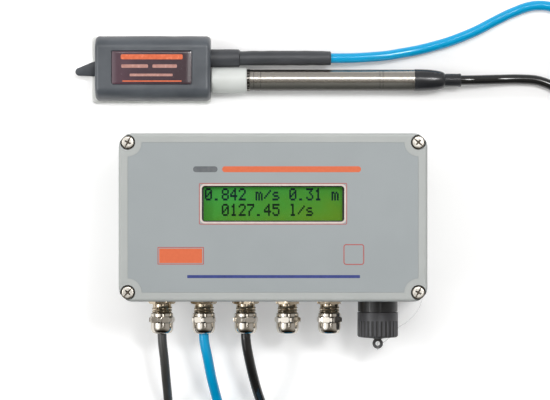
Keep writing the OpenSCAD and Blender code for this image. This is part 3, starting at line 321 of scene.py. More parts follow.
def new_material(name):
    """Starts a material, and gives its node tree and shader."""
    material = bpy.data.materials.new(name)
    material.use_nodes = True
    MATERIALS[name] = material
    return material.node_tree, material.node_tree.nodes["Principled BSDF"]


def set_inputs(tree, node, inputs):
    """Gives a node's inputs plain values, or links them from other nodes' outputs."""
    for name, value in inputs.items():
        if isinstance(value, bpy.types.NodeSocket):
            tree.links.new(value, node.inputs[name])
        else:
            node.inputs[name].default_value = value


def add_node(tree, kind, output, inputs, **options):
    """Adds a node with its options and inputs, and gives one of its outputs."""
    node = tree.nodes.new(f"ShaderNode{kind}")
    for name, value in options.items():
        setattr(node, name, value)
    set_inputs(tree, node, inputs)
    return node.outputs[output]


def add_bump(tree, shader, height, strength, distance):
    bump = {"Height": height, "Strength": strength, "Distance": distance}
    set_inputs(tree, shader, {"Normal": add_node(tree, "Bump", "Normal", bump)})


def noise(tree, scale, detail=3.0, stretch=(1, 1, 1)):
    """Noise over the object's own coordinates, in metres."""
    place = add_node(tree, "TexCoord", "Object", {})
    spot = add_node(tree, "Mapping", "Vector", {"Vector": place, "Scale": stretch})
    return add_node(tree, "TexNoise", "Fac", {"Vector": spot, "Scale": scale, "Detail": detail})


def ramp(tree, source, *stops):
    """Colour by a source's value: each stop is a place and a colour."""
    node = tree.nodes.new("ShaderNodeValToRGB")
    elements = node.color_ramp.elements
    while len(elements) < len(stops):
        elements.new(0.5)
    for element, (place, colour) in zip(elements, stops):
        element.position = place
        element.color = (*colour, 1)
    tree.links.new(source, node.inputs["Fac"])
    return node.outputs["Color"]


def spread(tree, source, low, high, start=0.25, end=0.75, **options):
    """A source between start and end stretched to low to high."""
    limits = {"From Min": start, "From Max": end, "To Min": low, "To Max": high}
    return add_node(tree, "MapRange", "Result", {"Value": source, **limits}, **options)


def uneven(tree, scale, low, high, detail=2.0):
    """Noise that wanders between two values."""
    return spread(tree, noise(tree, scale, detail), low, high)


def combined(tree, operation, first, second):
    """Two values added, subtracted or multiplied."""
    return add_node(tree, "Math", "Value", {0: first, 1: second}, operation=operation)


def mixed(tree, level, first, second):
    """The first colour where a level is 0, and the second where it is 1."""
    return add_node(tree, "Mix", "Result", {"Factor": level, "A": first, "B": second}, data_type="RGBA")


def axis_value(tree, axis):
    """One of the object's own coordinates, in metres."""
    place = add_node(tree, "TexCoord", "Object", {})
    return add_node(tree, "SeparateXYZ", axis, {"Vector": place})


def grained(name, dark, light, scale, rough, bump, metallic=0.0, coat=0.0, specular=0.5, distance=0.0002,
            stretch=(1, 1, 1), fine=6.0):
    """A surface with mottled colour, uneven gloss and a fine bump."""
    tree, shader = new_material(name)
    field = noise(tree, scale, 3.0, stretch)
    set_inputs(tree, shader, {
        "Base Color": ramp(tree, field, (0.25, dark), (0.75, light)),
        "Roughness": spread(tree, field, *rough),
        "Metallic": metallic, "Coat Weight": coat, "Specular IOR Level": specular,
    })
    add_bump(tree, shader, noise(tree, scale * fine, 2.0, stretch), bump, distance)


def clear_material(name, colour, alpha, rough):
    """A surface that is mostly see-through."""
    tree, shader = new_material(name)
    set_inputs(tree, shader, {
        "Base Color": (*colour, 1), "Alpha": alpha, "IOR": 1.5,
        "Roughness": uneven(tree, 400, rough, rough + 0.05),
    })


def display_material():
    """Backlit green glass: greener at the upper left, yellower at the lower right."""
    tree, shader = new_material("display_green")
    along = spread(tree, axis_value(tree, "X"), 0.25, 0.75, *DISPLAY_ACROSS)
    down = spread(tree, axis_value(tree, "Y"), 0.25, -0.25, *DISPLAY_UP)
    level = combined(tree, "ADD", combined(tree, "ADD", along, down), uneven(tree, 55, -0.16, 0.16))
    colour = ramp(tree, level, (0.1, (0.034, 0.250, 0.038)), (0.5, (0.044, 0.205, 0.020)),
                  (0.9, (0.078, 0.188, 0.010)))
    set_inputs(tree, shader, {
        "Base Color": colour, "Emission Color": colour, "Emission Strength": 0.22,
        "Roughness": uneven(tree, 300, 0.25, 0.35), "Specular IOR Level": 0.0,
    })


def probe_material():
    """Dark moulded rubber, with painted shade low on its sides and a painted highlight that makes its thin
    foot pale.
    """
    tree, shader = new_material("probe_grey")
    height = axis_value(tree, "Z")
    # Painted shade: the rubber is darker low on its sides than on its top
    field = combined(tree, "ADD", noise(tree, 42, 4.0), spread(tree, height, -0.32, 0.04, *SIDE_SHADE_Z))
    body = ramp(tree, field, (0.0, (0.028, 0.033, 0.040)), (0.35, (0.060, 0.068, 0.079)),
                (0.7, (0.098, 0.110, 0.125)))
    # Painted highlight: the thin foot is painted pale, as light caught on its edge
    foot = ramp(tree, noise(tree, 120), (0.3, (0.72, 0.73, 0.71)), (0.7, (0.86, 0.87, 0.85)))
    set_inputs(tree, shader, {
        "Base Color": mixed(tree, spread(tree, height, 0, 1, *FOOT_HIGHLIGHT_Z), body, foot),
        "Roughness": uneven(tree, 90, 0.30, 0.46, 3.0),
    })
    add_bump(tree, shader, noise(tree, 900), 0.12, 0.0001)


def label_material():
    """Glossy plum label, redder toward its left end."""
    tree, shader = new_material("label_plum")
    along = spread(tree, axis_value(tree, "X"), 0, 1, *LABEL_ACROSS)
    level = combined(tree, "ADD", along, uneven(tree, 60, -0.15, 0.15))
    colour = ramp(tree, level, (0.0, (0.098, 0.052, 0.070)), (0.35, (0.064, 0.036, 0.048)),
                  (1.0, (0.050, 0.030, 0.037)))
    set_inputs(tree, shader, {
        "Base Color": colour, "Roughness": uneven(tree, 500, 0.20, 0.28),
        "Coat Weight": 0.3, "Coat Roughness": 0.12,
    })


# The materials of the record's slots, and those that only this scene has
grained("cast_grey", (0.398, 0.418, 0.408), (0.428, 0.447, 0.437), 45, (0.40, 0.52), 0.14,
        fine=30, distance=0.0001)
grained("overlay_grey", (0.312, 0.342, 0.352), (0.330, 0.360, 0.371), 30, (0.42, 0.5), 0.05,
        fine=60, distance=0.00005)
grained("seal_rubber", (0.010, 0.010, 0.010), (0.02, 0.02, 0.02), 300, (0.5, 0.7), 0.2)
grained("screw_steel", (0.56, 0.53, 0.48), (0.76, 0.73, 0.67), 420, (0.34, 0.52), 0.16,
        metallic=1.0, distance=0.0001)
# Painted shade for the screws' slots, crosses and head rims
grained("recess_painted_shade", (0.075, 0.058, 0.042), (0.17, 0.14, 0.105), 700, (0.4, 0.6), 0.3, metallic=0.6)
grained("nickel_brass", (0.58, 0.54, 0.475), (0.67, 0.63, 0.565), 160, (0.10, 0.18), 0.03,
        metallic=1.0, distance=0.0001)
grained("neck_brass", (0.50, 0.42, 0.31), (0.62, 0.53, 0.41), 160, (0.12, 0.20), 0.03,
        metallic=1.0, distance=0.0001)
clear_material("clear_window", (0.95, 0.98, 0.96), 0.005, 0.02)
grained("display_black", (0.010, 0.010, 0.010), (0.02, 0.02, 0.02), 200, (0.35, 0.5), 0.1)
display_material()
grained("backlight_white", (0.7, 0.75, 0.65), (0.8, 0.85, 0.75), 100, (0.3, 0.4), 0.02)
grained("board_green", (0.012, 0.10, 0.04), (0.02, 0.14, 0.06), 300, (0.3, 0.4), 0.1)
grained("terminal_green", (0.02, 0.24, 0.10), (0.03, 0.29, 0.13), 200, (0.4, 0.5), 0.1)
grained("chip_black", (0.012, 0.012, 0.013), (0.025, 0.025, 0.026), 400, (0.5, 0.6), 0.2)
grained("can_blue", (0.02, 0.03, 0.14), (0.03, 0.05, 0.18), 200, (0.3, 0.4), 0.05)
grained("ribbon_grey", (0.35, 0.35, 0.36), (0.42, 0.42, 0.43), 200, (0.4, 0.5), 0.1)
grained("socket_black", (0.040, 0.040, 0.042), (0.062, 0.062, 0.064), 70, (0.32, 0.44), 0.12,
        fine=25, distance=0.0001)
grained("cap_black", (0.048, 0.048, 0.053), (0.071, 0.071, 0.078), 70, (0.36, 0.48), 0.12,
        fine=25, distance=0.0001)
grained("socket_gloss", (0.0155, 0.0155, 0.016), (0.026, 0.026, 0.027), 70, (0.36, 0.48), 0.12,
        fine=25, distance=0.0001, coat=0.1)
grained("contact_gold", (0.75, 0.52, 0.16), (0.82, 0.6, 0.22), 300, (0.2, 0.3), 0.05, metallic=1.0)
clear_material("clear_line", (0.90, 0.91, 0.90), 0.11, 0.1)
probe_material()
label_material()
grained("crystal_cream", (0.7, 0.62, 0.42), (0.75, 0.68, 0.5), 200, (0.5, 0.6), 0.1)
grained("sleeve_grey", (0.036, 0.0385, 0.044), (0.058, 0.0615, 0.069), 60, (0.40, 0.54), 0.25,
        fine=14, distance=0.0001, stretch=(0.5, 1, 1))
grained("nose_white", (0.60, 0.62, 0.60), (0.67, 0.69, 0.67), 60, (0.34, 0.44), 0.06)
grained("ring_dark", (0.16, 0.15, 0.135), (0.24, 0.225, 0.205), 300, (0.22, 0.34), 0.1, metallic=1.0)
grained("tube_steel", (0.41, 0.385, 0.345), (0.46, 0.435, 0.395), 260, (0.24, 0.27), 0.005,
        metallic=1.0, distance=0.00005, stretch=(12, 1, 1))
grained("boot_black", (0.016, 0.017, 0.019), (0.026, 0.027, 0.030), 80, (0.20, 0.30), 0.08, distance=0.0001)
grained("cable_black", (0.032, 0.032, 0.030), (0.044, 0.044, 0.042), 60, (0.34, 0.46), 0.10,
        fine=12, distance=0.0001, specular=0.8)
grained("cable_gloss", (0.012, 0.012, 0.012), (0.018, 0.018, 0.017), 60, (0.30, 0.40), 0.03,
        fine=12, distance=0.0001, coat=1.0, specular=0.0)
grained("cable_blue", (0.0, 0.330, 0.62), (0.002, 0.365, 0.69), 60, (0.30, 0.40), 0.03,
        fine=12, distance=0.0001, coat=1.0, specular=0.0)
grained("copper", (0.7, 0.33, 0.2), (0.85, 0.45, 0.3), 600, (0.25, 0.4), 0.2, metallic=1.0)
grained("print_orange", (0.66, 0.125, 0.04), (0.70, 0.14, 0.046), 500, (0.4, 0.5), 0.04)
grained("print_red", (0.38, 0.085, 0.075), (0.46, 0.11, 0.10), 300, (0.4, 0.5), 0.04)
grained("print_pale", (0.60, 0.52, 0.47), (0.70, 0.61, 0.56), 300, (0.4, 0.5), 0.04)
grained("print_navy", (0.018, 0.032, 0.18), (0.030, 0.050, 0.24), 300, (0.4, 0.5), 0.04)
grained("print_grey", (0.10, 0.11, 0.12), (0.14, 0.15, 0.16), 300, (0.4, 0.5), 0.04)
grained("label_orange", (0.66, 0.13, 0.055), (0.80, 0.19, 0.085), 400, (0.2, 0.3), 0.03)
grained("label_pink", (0.42, 0.21, 0.18), (0.55, 0.30, 0.26), 400, (0.2, 0.3), 0.03)
grained("upper_dots", (0.0005, 0.013, 0.015), (0.001, 0.020, 0.020), 300, (0.4, 0.5), 0.03, specular=0.0)
grained("lower_dots", (0.0005, 0.013, 0.002), (0.002, 0.019, 0.004), 300, (0.4, 0.5), 0.03, specular=0.0)


def dress(node, material):
    """Gives a CAD node a material in place of its own."""
    slots = frame["nodes"][node].data.materials
    slots.clear()
    slots.append(MATERIALS[material])


def dress_cad_nodes():
    """Gives every CAD node the material of its slot in the record."""
    for part in frame["record"]["subparts"]:
        dress(part["node"], part["material_slot"])


def span(node):
    """A node's lowest and highest corners in millimetres."""
    low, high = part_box(node)
    return Vector(low) / MM, Vector(high) / MM


def middle_of(node):
    """The middle of a node's box in millimetres."""
    low, high = span(node)
    return (low + high) / 2


def axis_of(node):
    """Where a node's axis along X crosses X = 0, in millimetres."""
    return middle_of(node) * Vector((0, 1, 1))


def blend_colour(material, level, colour):
    """Mixes a colour into a material where a level falls from 1 to 0."""
    tree = MATERIALS[material].node_tree
    shader = tree.nodes["Principled BSDF"]
    plain = shader.inputs["Base Color"].links[0].from_socket
    set_inputs(tree, shader, {"Base Color": mixed(tree, level, (*colour, 1), plain)})


def paint_groove_shade(node, material, axis, depth, colour):
    """Gives a turned CAD node a material with painted shade in its slots, below its outer radius."""
    low, high = span(node)
    across = Vector([0.0 if i == axis else 1.0 for i in range(3)])
    radius = (high - low)[(axis + 1) % 3] / 2
    centre = (low + high) / 2 * across * MM
    tree = MATERIALS[material].node_tree
    place = add_node(tree, "TexCoord", "Object", {})
    flat = add_node(tree, "VectorMath", "Vector", {0: place, 1: across}, operation="MULTIPLY")
    away = add_node(tree, "VectorMath", "Value", {0: flat, 1: centre}, operation="DISTANCE")
    level = spread(tree, away, 0, 1, (radius - depth) * MM, (radius - depth / 3) * MM)
    blend_colour(material, level, colour)
    dress(node, material)


def paint_low_side_shade(node, material, shade, colour):
    """Paints shade into a node's material toward the node's low side in Y, between two shares of its radius:
    painted shade standing for the shadowed floor that it reflects.
    """
    low, high = span(node)
    middle = (low.y + high.y) / 2
    radius = (high.y - low.y) / 2
    tree = MATERIALS[material].node_tree
    start, end = [(middle - radius * share) * MM for share in shade]
    blend_colour(material, spread(tree, axis_value(tree, "Y"), 0, 1, end, start), colour)


def dress_turned_nodes():
    """Painted shade in the slots of the fluted cap, the depth probe's port ring and its tube, painted shade
    on the tube's low side, and a glossy socket.
    """
    # Painted shade in the grooves, and on the depth tube's low side
    paint_groove_shade("cap_ring", "cap_black", 1, 0.5, (0.010, 0.010, 0.010))
    paint_groove_shade("depth_ring", "ring_dark", 0, 0.3, (0.004, 0.004, 0.004))
    paint_groove_shade("depth_tube", "tube_steel", 0, 0.15, (0.22, 0.21, 0.19))
    paint_low_side_shade("depth_tube", "tube_steel", TUBE_SHADE, (0.075, 0.072, 0.067))
    dress("socket_body", "socket_gloss")


def angles(start, end, steps):
    """Equal steps from one angle to another, given in degrees, in radians."""
    return [math.radians(start + (end - start) * k / steps) for k in range(steps + 1)]


def join_rows(bm, rows, closed=False):
    """Adds the faces between rows of points. The last row joins the first, or each gets a face."""
    for low, high in zip(rows, rows[1:] + (rows[:1] if closed else [])):
        for k in range(len(low)):
            j = (k + 1) % len(low)
            bm.faces.new((low[k], low[j], high[j], high[k]))
    if not closed:
        bm.faces.new(rows[0])
        bm.faces.new(rows[-1])


def lathe(bm, profile, place, axes, steps=96, turn=0.0, reach=None, closed=True):
    """Adds a turned form in millimetres: a profile point is its radius and its place along the axis."""
    across, up, along = axes
    rows = []
    for r, s in profile:
        row = []
        for k in range(steps):
            a = turn + 2 * math.pi * k / steps
            reached = reach(r, s, a) if reach else r
            spot = place + across * reached * math.cos(a) + up * reached * math.sin(a) + along * s
            row.append(bm.verts.new(spot * MM))
        rows.append(row)
    join_rows(bm, rows, closed)


def stack(bm, rings, closed=False):
    """Adds a form through rings of the same number of points: each is an outline and a height."""
    rows = [[bm.verts.new(Vector((x, y, z)) * MM) for x, y in outline] for outline, z in rings]
    join_rows(bm, rows, closed)


def finish(bm, name, *materials, sharp=35):
    """Makes the object: smooth faces, with its edges sharper than an angle kept."""
    bmesh.ops.recalc_face_normals(bm, faces=bm.faces)
    mesh = bpy.data.meshes.new(name)
    bm.to_mesh(mesh)
    bm.free()
    mesh.shade_smooth()
    mesh.set_sharp_from_angle(angle=math.radians(sharp))
    for material in materials:
        mesh.materials.append(MATERIALS[material])
    return add_object(name, mesh)


def stand_for(piece, *nodes):
    """Makes a piece ride on the box's body in place of CAD nodes."""
    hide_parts(*nodes)
    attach(piece, "box")


def rounded_box(cx, cy, l, w, r, steps=6):
    """Outline of a rectangle with round corners."""
    points = []
    for sx, sy, start in ((1, 1, 0), (-1, 1, 90), (-1, -1, 180), (1, -1, 270)):
        for a in angles(start, start + 90, steps):
            points.append((cx + sx * (l / 2 - r) + r * math.cos(a), cy + sy * (w / 2 - r) + r * math.sin(a)))
    return points


def coil_points(coil, d, turns):
    """Centreline of a wound coil: out to in on one layer, in to out on the next, and so on."""
    (cx, cy), mean, side, layers, start, sense = coil
    places = []
    for layer in range(layers):
        row = list(range(side)) if layer % 2 == 0 else list(range(side - 1, -1, -1))
        places += [(mean + ((side - 1) / 2 - k) * d, (layer + 0.5) * d) for k in row]
    points = []
    for i in range(int(turns * TURN_POINTS) + 1):
        turn, share = divmod(i / TURN_POINTS, 1)
        here = places[min(int(turn), len(places) - 1)]
        there = places[min(int(turn) + 1, len(places) - 1)]
        t = max(0.0, (share - 1 + SHIFT_SHARE) / SHIFT_SHARE)
        ease = t * t * (3 - 2 * t)
        r = here[0] + (there[0] - here[0]) * ease
        z = here[1] + (there[1] - here[1]) * ease
        a = math.radians(start + sense * 360 * i / TURN_POINTS)
        points.append(Vector((cx + r * math.cos(a), cy + r * math.sin(a), z)))
    return points


def smooth_route(route, step):
    """Points about a step apart on a smooth curve through a route's points."""
    p = [Vector(q) for q in route]
    p = [2 * p[0] - p[1]] + p + [2 * p[-1] - p[-2]]
    out = []
    for a, b, c, d in zip(p, p[1:], p[2:], p[3:]):
        gap = (c - b).length
        count = max(2, round(gap / step))
        m0 = (c - a) * (gap / max(gap + (b - a).length, 1e-6))
        m1 = (d - b) * (gap / max((d - c).length + gap, 1e-6))
        for k in range(count):
            t = k / count
            out.append(
                (2 * t**3 - 3 * t**2 + 1) * b + (t**3 - 2 * t**2 + t) * m0
                + (3 * t**2 - 2 * t**3) * c + (t**3 - t**2) * m1
            )
    out.append(p[-2])
    return out


def curve_piece(name, points, d, material):
    """A round tube along points, all in millimetres."""
    data = bpy.data.curves.new(name, "CURVE")
    data.dimensions = "3D"
    data.bevel_depth = d / 2 * MM
    data.bevel_resolution = 5
    data.use_fill_caps = True
    spline = data.splines.new("POLY")
    spline.points.add(len(points) - 1)
    for slot, p in zip(spline.points, points):
        slot.co = (*(p * MM), 1)
    spline.use_smooth = True
    data.materials.append(MATERIALS[material])
    return add_object(name, data)


def coil_tie(name, coil, d, angle):
    """A strap round a coil's turns, with its lock on top."""
    (cx, cy), mean, side, layers, _, _ = coil
    a = math.radians(angle)
    out = Vector((math.cos(a), math.sin(a), 0))
    around = Vector((-math.sin(a), math.cos(a), 0))
    centre = Vector((cx, cy, 0))
    width = side * d
    height = layers * d
    inside = rounded_box(mean, height / 2, width, height, d / 2)
    outside = rounded_box(mean, height / 2, width + 2 * TIE_T, height + 2 * TIE_T, d / 2 + TIE_T)
    bm = bmesh.new()

    def vert(r, shift, z):
        return bm.verts.new((centre + out * r + around * shift + Vector((0, 0, max(z, 0)))) * MM)

    strap = ((outside, -TIE_W / 2), (outside, TIE_W / 2), (inside, TIE_W / 2), (inside, -TIE_W / 2))
    rows = [[vert(r, shift, z) for r, z in outline] for outline, shift in strap]
    join_rows(bm, rows, closed=True)
    lock = rounded_box(0, 0, TIE_W * 1.5, TIE_W * 1.4, 0.8)
    base = height + TIE_T - 0.4
    edge = ((1, base), (1, base + TIE_LOCK_H - 0.5), (0.86, base + TIE_LOCK_H))
    rows = [[vert(mean + x * draw, y * draw, z) for x, y in lock] for draw, z in edge]
    join_rows(bm, rows)
    piece = finish(bm, name, "cable_black")
    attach(piece, "box")
    return piece


def make_cables():
    """The three cables, each one tube from its gland through its coil to its end."""
    cables = (
        ("power", "cable_black", POWER_D, POWER_ROUTE, POWER_COIL, 0, TAIL_ROUTE,
         ("power_cable", "power_coil", "power_tail"), "bare"),
        ("velocity", "cable_blue", VELOCITY_D, VELOCITY_A_ROUTE, VELOCITY_COIL, VELOCITY_SHORT,
         VELOCITY_B_ROUTE, ("velocity_cable_a", "velocity_coil", "velocity_cable_b"), "object"),
        ("depth", "cable_gloss", DEPTH_D, DEPTH_A_ROUTE, DEPTH_COIL, 0, DEPTH_B_ROUTE,
         ("depth_cable_a", "depth_coil", "depth_cable_b"), "object"),
    )
    for name, material, d, first, coil, short, second, nodes, end in cables:
        points = smooth_route(first, CABLE_STEP)[:-1] + coil_points(coil, d, coil[2] * coil[3] - short)
        points += smooth_route(second, CABLE_STEP)[1:]
        pieces = [coil_tie(f"{name}_tie_{i + 1}", coil, d, a) for i, a in enumerate(TIE_ANGLES)]
        if end == "bare":
            pieces += power_cores()
        cable = curve_piece(f"{name}_lead", points, d, material)
        stand_for(cable, *nodes)


def power_cores():
    """The cable's cores at its bare end, each with a stripped tip."""
    end = Vector(TAIL_ROUTE[-1])
    pieces = []
    for i, colour in enumerate(CORE_COLOURS):
        side = i - (len(CORE_COLOURS) - 1) / 2
        start = end + Vector((side * CORE_D, 1, CORE_D / 2 + 1 - end.z))
        tip = start + Vector((0, -CORE_LEN + CORE_BARE, 0))
        grained(f"core_{i}", colour, [c * 1.2 for c in colour], 200, (0.3, 0.4), 0.05)
        pieces.append(curve_piece(f"core_{i}_jacket", [start, tip], CORE_D * 0.95, f"core_{i}"))
        wire = [tip, tip + Vector((0, -CORE_BARE, 0))]
        pieces.append(curve_piece(f"core_{i}_wire", wire, CORE_D * 0.6, "copper"))
    for piece in pieces:
        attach(piece, "box")
    return pieces


def tube_mesh(bm, points, d, sides=12):
    """Adds a round tube along points, in millimetres, its section turned as little as it can be."""
    rows = []
    up = Vector((1, 0, 0))
    for i, here in enumerate(points):
        ahead = (points[min(i + 1, len(points) - 1)] - points[max(i - 1, 0)]).normalized()
        up = (up - ahead * up.dot(ahead)).normalized()
        across = ahead.cross(up)
        rows.append([
            bm.verts.new((here + (across * math.cos(a) + up * math.sin(a)) * d / 2) * MM)
            for a in [2 * math.pi * k / sides for k in range(sides)]
        ])
    join_rows(bm, rows)


def make_lanyard():
    """The cap's clear line, made in place of the CAD line."""
    points = smooth_route(LINE_ROUTE[::-1], LINE_STEP)
    bm = bmesh.new()
    tube_mesh(bm, points, LINE_D)
    line = finish(bm, "cap_line", "clear_line", sharp=60)
    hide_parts("cap_lanyard")
    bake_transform(line)


def hexed(r, s, a, turn, low, high):
    """Radius of a turned form whose part between two places is cut to a hexagon."""
    if not low - 0.01 <= s <= high + 0.01:
        return r
    sixth = math.radians(60)
    return min(r, GLAND_AF / 2 / math.cos((a - turn) % sixth - sixth / 2))


def hex_part(low, high, inner):
    """Profile of a hexagon between two places, with its corners turned down at both ends."""
    flat = GLAND_AF / 2
    corner = flat / math.cos(math.radians(30))
    drop = GLAND_CORNER_DROP
    return [
        (inner, low), (flat - 0.3, low), (flat + 0.35, low + drop * 0.25), (corner, low + drop),
        (corner, high - drop), (flat + 0.35, high - drop * 0.25), (flat - 0.3, high), (inner, high),
    ]


def thread_rows(start, end):
    """Profile points for a stretch of thread, eight to each turn."""
    count = round((end - start) / THREAD_PITCH * 8)
    return [(THREAD_R, start + (end - start) * k / count) for k in range(count + 1)]


def make_gland_body(i, place, rear_end):
    """Gland body: entry thread through the wall, hex flange, neck and rear thread under the nut."""
    turn = math.radians(NUT_TURNS[i] + FLANGE_TURN)

    def reach(r, s, a):
        if r == THREAD_R:
            wave = abs((s / THREAD_PITCH - a / (2 * math.pi)) % 1 * 2 - 1)
            return r - THREAD_DEPTH * (0.5 + 0.5 * math.cos(math.pi * wave))
        return hexed(r, s, a, turn, *FLANGE)

    profile = (
        [(BORE_R, -GLAND_INSIDE), (ENTRY_R - 0.4, -GLAND_INSIDE), (ENTRY_R, 0.4 - GLAND_INSIDE)]
        + hex_part(*FLANGE, ENTRY_R) + [(NECK_R, FLANGE[1]), (NECK_R, NECK_END)]
        + thread_rows(NECK_END + 0.4, rear_end) + [(BORE_R, rear_end)]
    )
    bm = bmesh.new()
    lathe(bm, profile, place, OUT_OF_WALL, GLAND_STEPS, turn, reach)
    piece = finish(bm, f"gland_{i + 1}_threaded", "neck_brass", sharp=32)
    stand_for(piece, f"gland_{i + 1}_body")


def make_gland_nut(i, place, start, end):
    """Dome nut: collar, hexagon, and a dome that turns in to the mouth."""
    turn = math.radians(NUT_TURNS[i])
    dome_start = NUT_HEX_END + DOME_STRAIGHT

    def reach(r, s, a):
        return hexed(r, s, a, turn, NUT_COLLAR_END, NUT_HEX_END)

    dome = [(NUT_END_R + (NUT_R - NUT_END_R) * math.cos(a), dome_start + (end - dome_start) * math.sin(a))
            for a in angles(0, 90, 10)]
    profile = (
        [(ENTRY_R, start), (NUT_R - 0.35, start), (NUT_R, start + 0.35), (NUT_R, NUT_COLLAR_END - 0.3),
         (NUT_R - 0.25, NUT_COLLAR_END - 0.05)]
        + hex_part(NUT_COLLAR_END, NUT_HEX_END, NUT_R - 0.25) + [(NUT_R, NUT_HEX_END + 0.3)] + dome
        + [(NUT_MOUTH_R + 0.2, end), (NUT_MOUTH_R, end - 0.2), (NUT_MOUTH_R, end - 2),
           (NUT_HOLLOW_R, end - 2), (NUT_HOLLOW_R, NUT_HEX_END + 0.6), (ENTRY_R, NUT_HEX_END + 0.6)]
    )
    bm = bmesh.new()
    lathe(bm, profile, place, OUT_OF_WALL, GLAND_STEPS, turn, reach)
    piece = finish(bm, f"gland_{i + 1}_dome", "nickel_brass", sharp=32)
    stand_for(piece, f"gland_{i + 1}_nut")


def make_glands():
    """Every gland's body and dome nut, with real threads."""
    for i in range(len(NUT_TURNS)):
        body_low, body_high = span(f"gland_{i + 1}_body")
        nut_low, nut_high = span(f"gland_{i + 1}_nut")
        wall_y = body_high.y - GLAND_INSIDE
        place = middle_of(f"gland_{i + 1}_nut")
        place.y = wall_y
        make_gland_body(i, place, wall_y - body_low.y)
        make_gland_nut(i, place, wall_y - nut_high.y, wall_y - nut_low.y)


def add_bar(bm, centre, turn, l, w, depth):
    """Adds a bar that reaches a depth below its centre and as far above it."""
    c = math.cos(turn)
    s = math.sin(turn)
    corners = [(x * l / 2, y * w / 2) for x, y in CORNERS]
    outline = [(centre.x + x * c - y * s, centre.y + x * s + y * c) for x, y in corners]
    stack(bm, [(outline, centre.z - depth), (outline, centre.z + depth)])


def carve(piece, bm, material):
    """Cuts a form out of a piece, with its own material on the cut faces."""
    cutter = finish(bm, "cutter", material)
    change = piece.modifiers.new("cut", "BOOLEAN")
    change.operation = "DIFFERENCE"
    change.solver = "EXACT"
    change.material_mode = "TRANSFER"
    change.use_self = True
    change.object = cutter
    bpy.context.view_layer.update()
    result = bpy.data.meshes.new_from_object(piece.evaluated_get(bpy.context.evaluated_depsgraph_get()))
    piece.modifiers.clear()
    piece.data = result
    bpy.data.objects.remove(cutter)
    result.set_sharp_from_angle(angle=math.radians(30))


def make_screws():
    """Four captive cover screws, each with a slot and a cross in its round head, with painted shade in them
    and round the head's rim.
    """
    low, high = span("cover_screws")
    seat = high.z - SCREW_HEAD_H
    bm = bmesh.new()
    slots = bmesh.new()
    crosses = bmesh.new()
    crown = [(SCREW_HEAD_R * math.cos(a) ** 0.3, high.z - SCREW_CROWN + SCREW_CROWN * math.sin(a))
             for a in angles(0, 80, 8)]
    profile = [(SCREW_R - 0.6, low.z), (SCREW_R, low.z + 0.6), (SCREW_R, seat), (SCREW_HEAD_R, seat)] + crown
    for sx, sy, degrees in SCREW_TURNS:
        place = Vector((sx * SCREW_X, sy * SCREW_Y, 0))
        lathe(bm, profile, place, UPWARD, 64, closed=False)
        top = place + Vector((0, 0, high.z))
        turn = math.radians(degrees)
        add_bar(slots, top, turn, 3 * SCREW_HEAD_R, SLOT_W, SLOT_DEPTH)
        add_bar(crosses, top, turn, CROSS_L, CROSS_W, CROSS_DEPTH)
        add_bar(crosses, top, turn + math.pi / 2, CROSS_L, CROSS_W, CROSS_DEPTH + 0.02)
        add_bar(crosses, top, turn + math.pi / 4, CROSS_W * 1.9, CROSS_W * 1.9, CROSS_DEPTH + 0.1)
    # Painted shade on the head's rim, standing for the shadow of the hole round it
    for face in bm.faces:
        spot = face.calc_center_median() / MM
        if math.hypot(abs(spot.x) - SCREW_X, abs(spot.y) - SCREW_Y) > SCREW_RIM_SHADE_R:
            face.material_index = 1
    piece = finish(bm, "cover_screws_turned", "screw_steel", "recess_painted_shade")
    carve(piece, slots, "recess_painted_shade")
    carve(piece, crosses, "recess_painted_shade")
    stand_for(piece, "cover_screws")


def print_piece(name, forms, z, material):
    """Thin ink: each form is an outline, or an outline and the outline of its hole."""
    bm = bmesh.new()
    for outer, *hole in forms:
        rings = [(outer, z), (outer, z + INK_T)] + [(outline, h) for outline in hole for h in (z + INK_T, z)]
        stack(bm, rings, closed=bool(hole))
    piece = finish(bm, name, material)
    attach(piece, "box")


def ring_form(cx, cy, l, w, r, line):
    """A rounded rectangle's outline drawn with a line of a width inward."""
    hole = rounded_box(cx, cy, l - 2 * line, w - 2 * line, max(r - line, 0.2))
    return rounded_box(cx, cy, l, w, r), hole


def make_front_print():
    """The overlay's print: plain bars where lettering is, the window's line and two blank fields."""
    top = span("front_overlay")[1].z
    middle = middle_of("display_window").xy
    l, w = WINDOW_SIZE
    field_x, field_y, field_l, field_w, _ = FIELD
    red_lines = [
        ring_form(*middle, l + 4.0, w + 3.9, 1.0, 0.55),
        ring_form(field_x, field_y, field_l + 2.4, field_w + 2.2, 0.4, 0.6),
        ring_form(*SQUARE, 0.75),
    ]
    for name, forms, material in (
        ("print_bar_orange", [(rounded_box(*ORANGE_BAR),), (rounded_box(*FIELD),)], "print_orange"),
        ("print_bar_grey", [(rounded_box(*GREY_BAR),)], "print_grey"),
        ("print_rule_navy", [(rounded_box(*NAVY_RULE),)], "print_navy"),
        ("print_red_lines", red_lines, "print_red"),
        ("print_window_margin", [ring_form(*middle, l + 2.6, w + 2.5, 3.4, 1.25)], "print_pale"),
    ):
        print_piece(name, forms, top, material)


def dot_forms(row, top):
    """Outlines of a row's dots, one for each bit that is set in its characters."""
    half_x = DOT_PITCH[0] * DOT_FILL / 2
    half_y = DOT_PITCH[1] * DOT_FILL / 2
    forms = []
    for place, character in enumerate(row):
        for line, bits in enumerate(bytes.fromhex(FONT.get(character, ""))):
            for column in range(5):
                if bits >> (4 - column) & 1:
                    cx = FIRST_CHARACTER_X + place * CHARACTER_PITCH + (column + 0.5) * DOT_PITCH[0]
                    cy = top - (line + 0.5) * DOT_PITCH[1]
                    forms.append(([(cx + x * half_x, cy + y * half_y) for x, y in CORNERS],))
    return forms


def make_reading():
    """The display's dots: a flow reading in plain numbers and units."""
    z = span("lcd_glass")[1].z + PRINT_LIFT
    print_piece("display_upper_row", dot_forms(READING[0], ROW_TOPS[0]), z, "upper_dots")
    print_piece("display_lower_row", dot_forms(READING[1], ROW_TOPS[1]), z, "lower_dots")


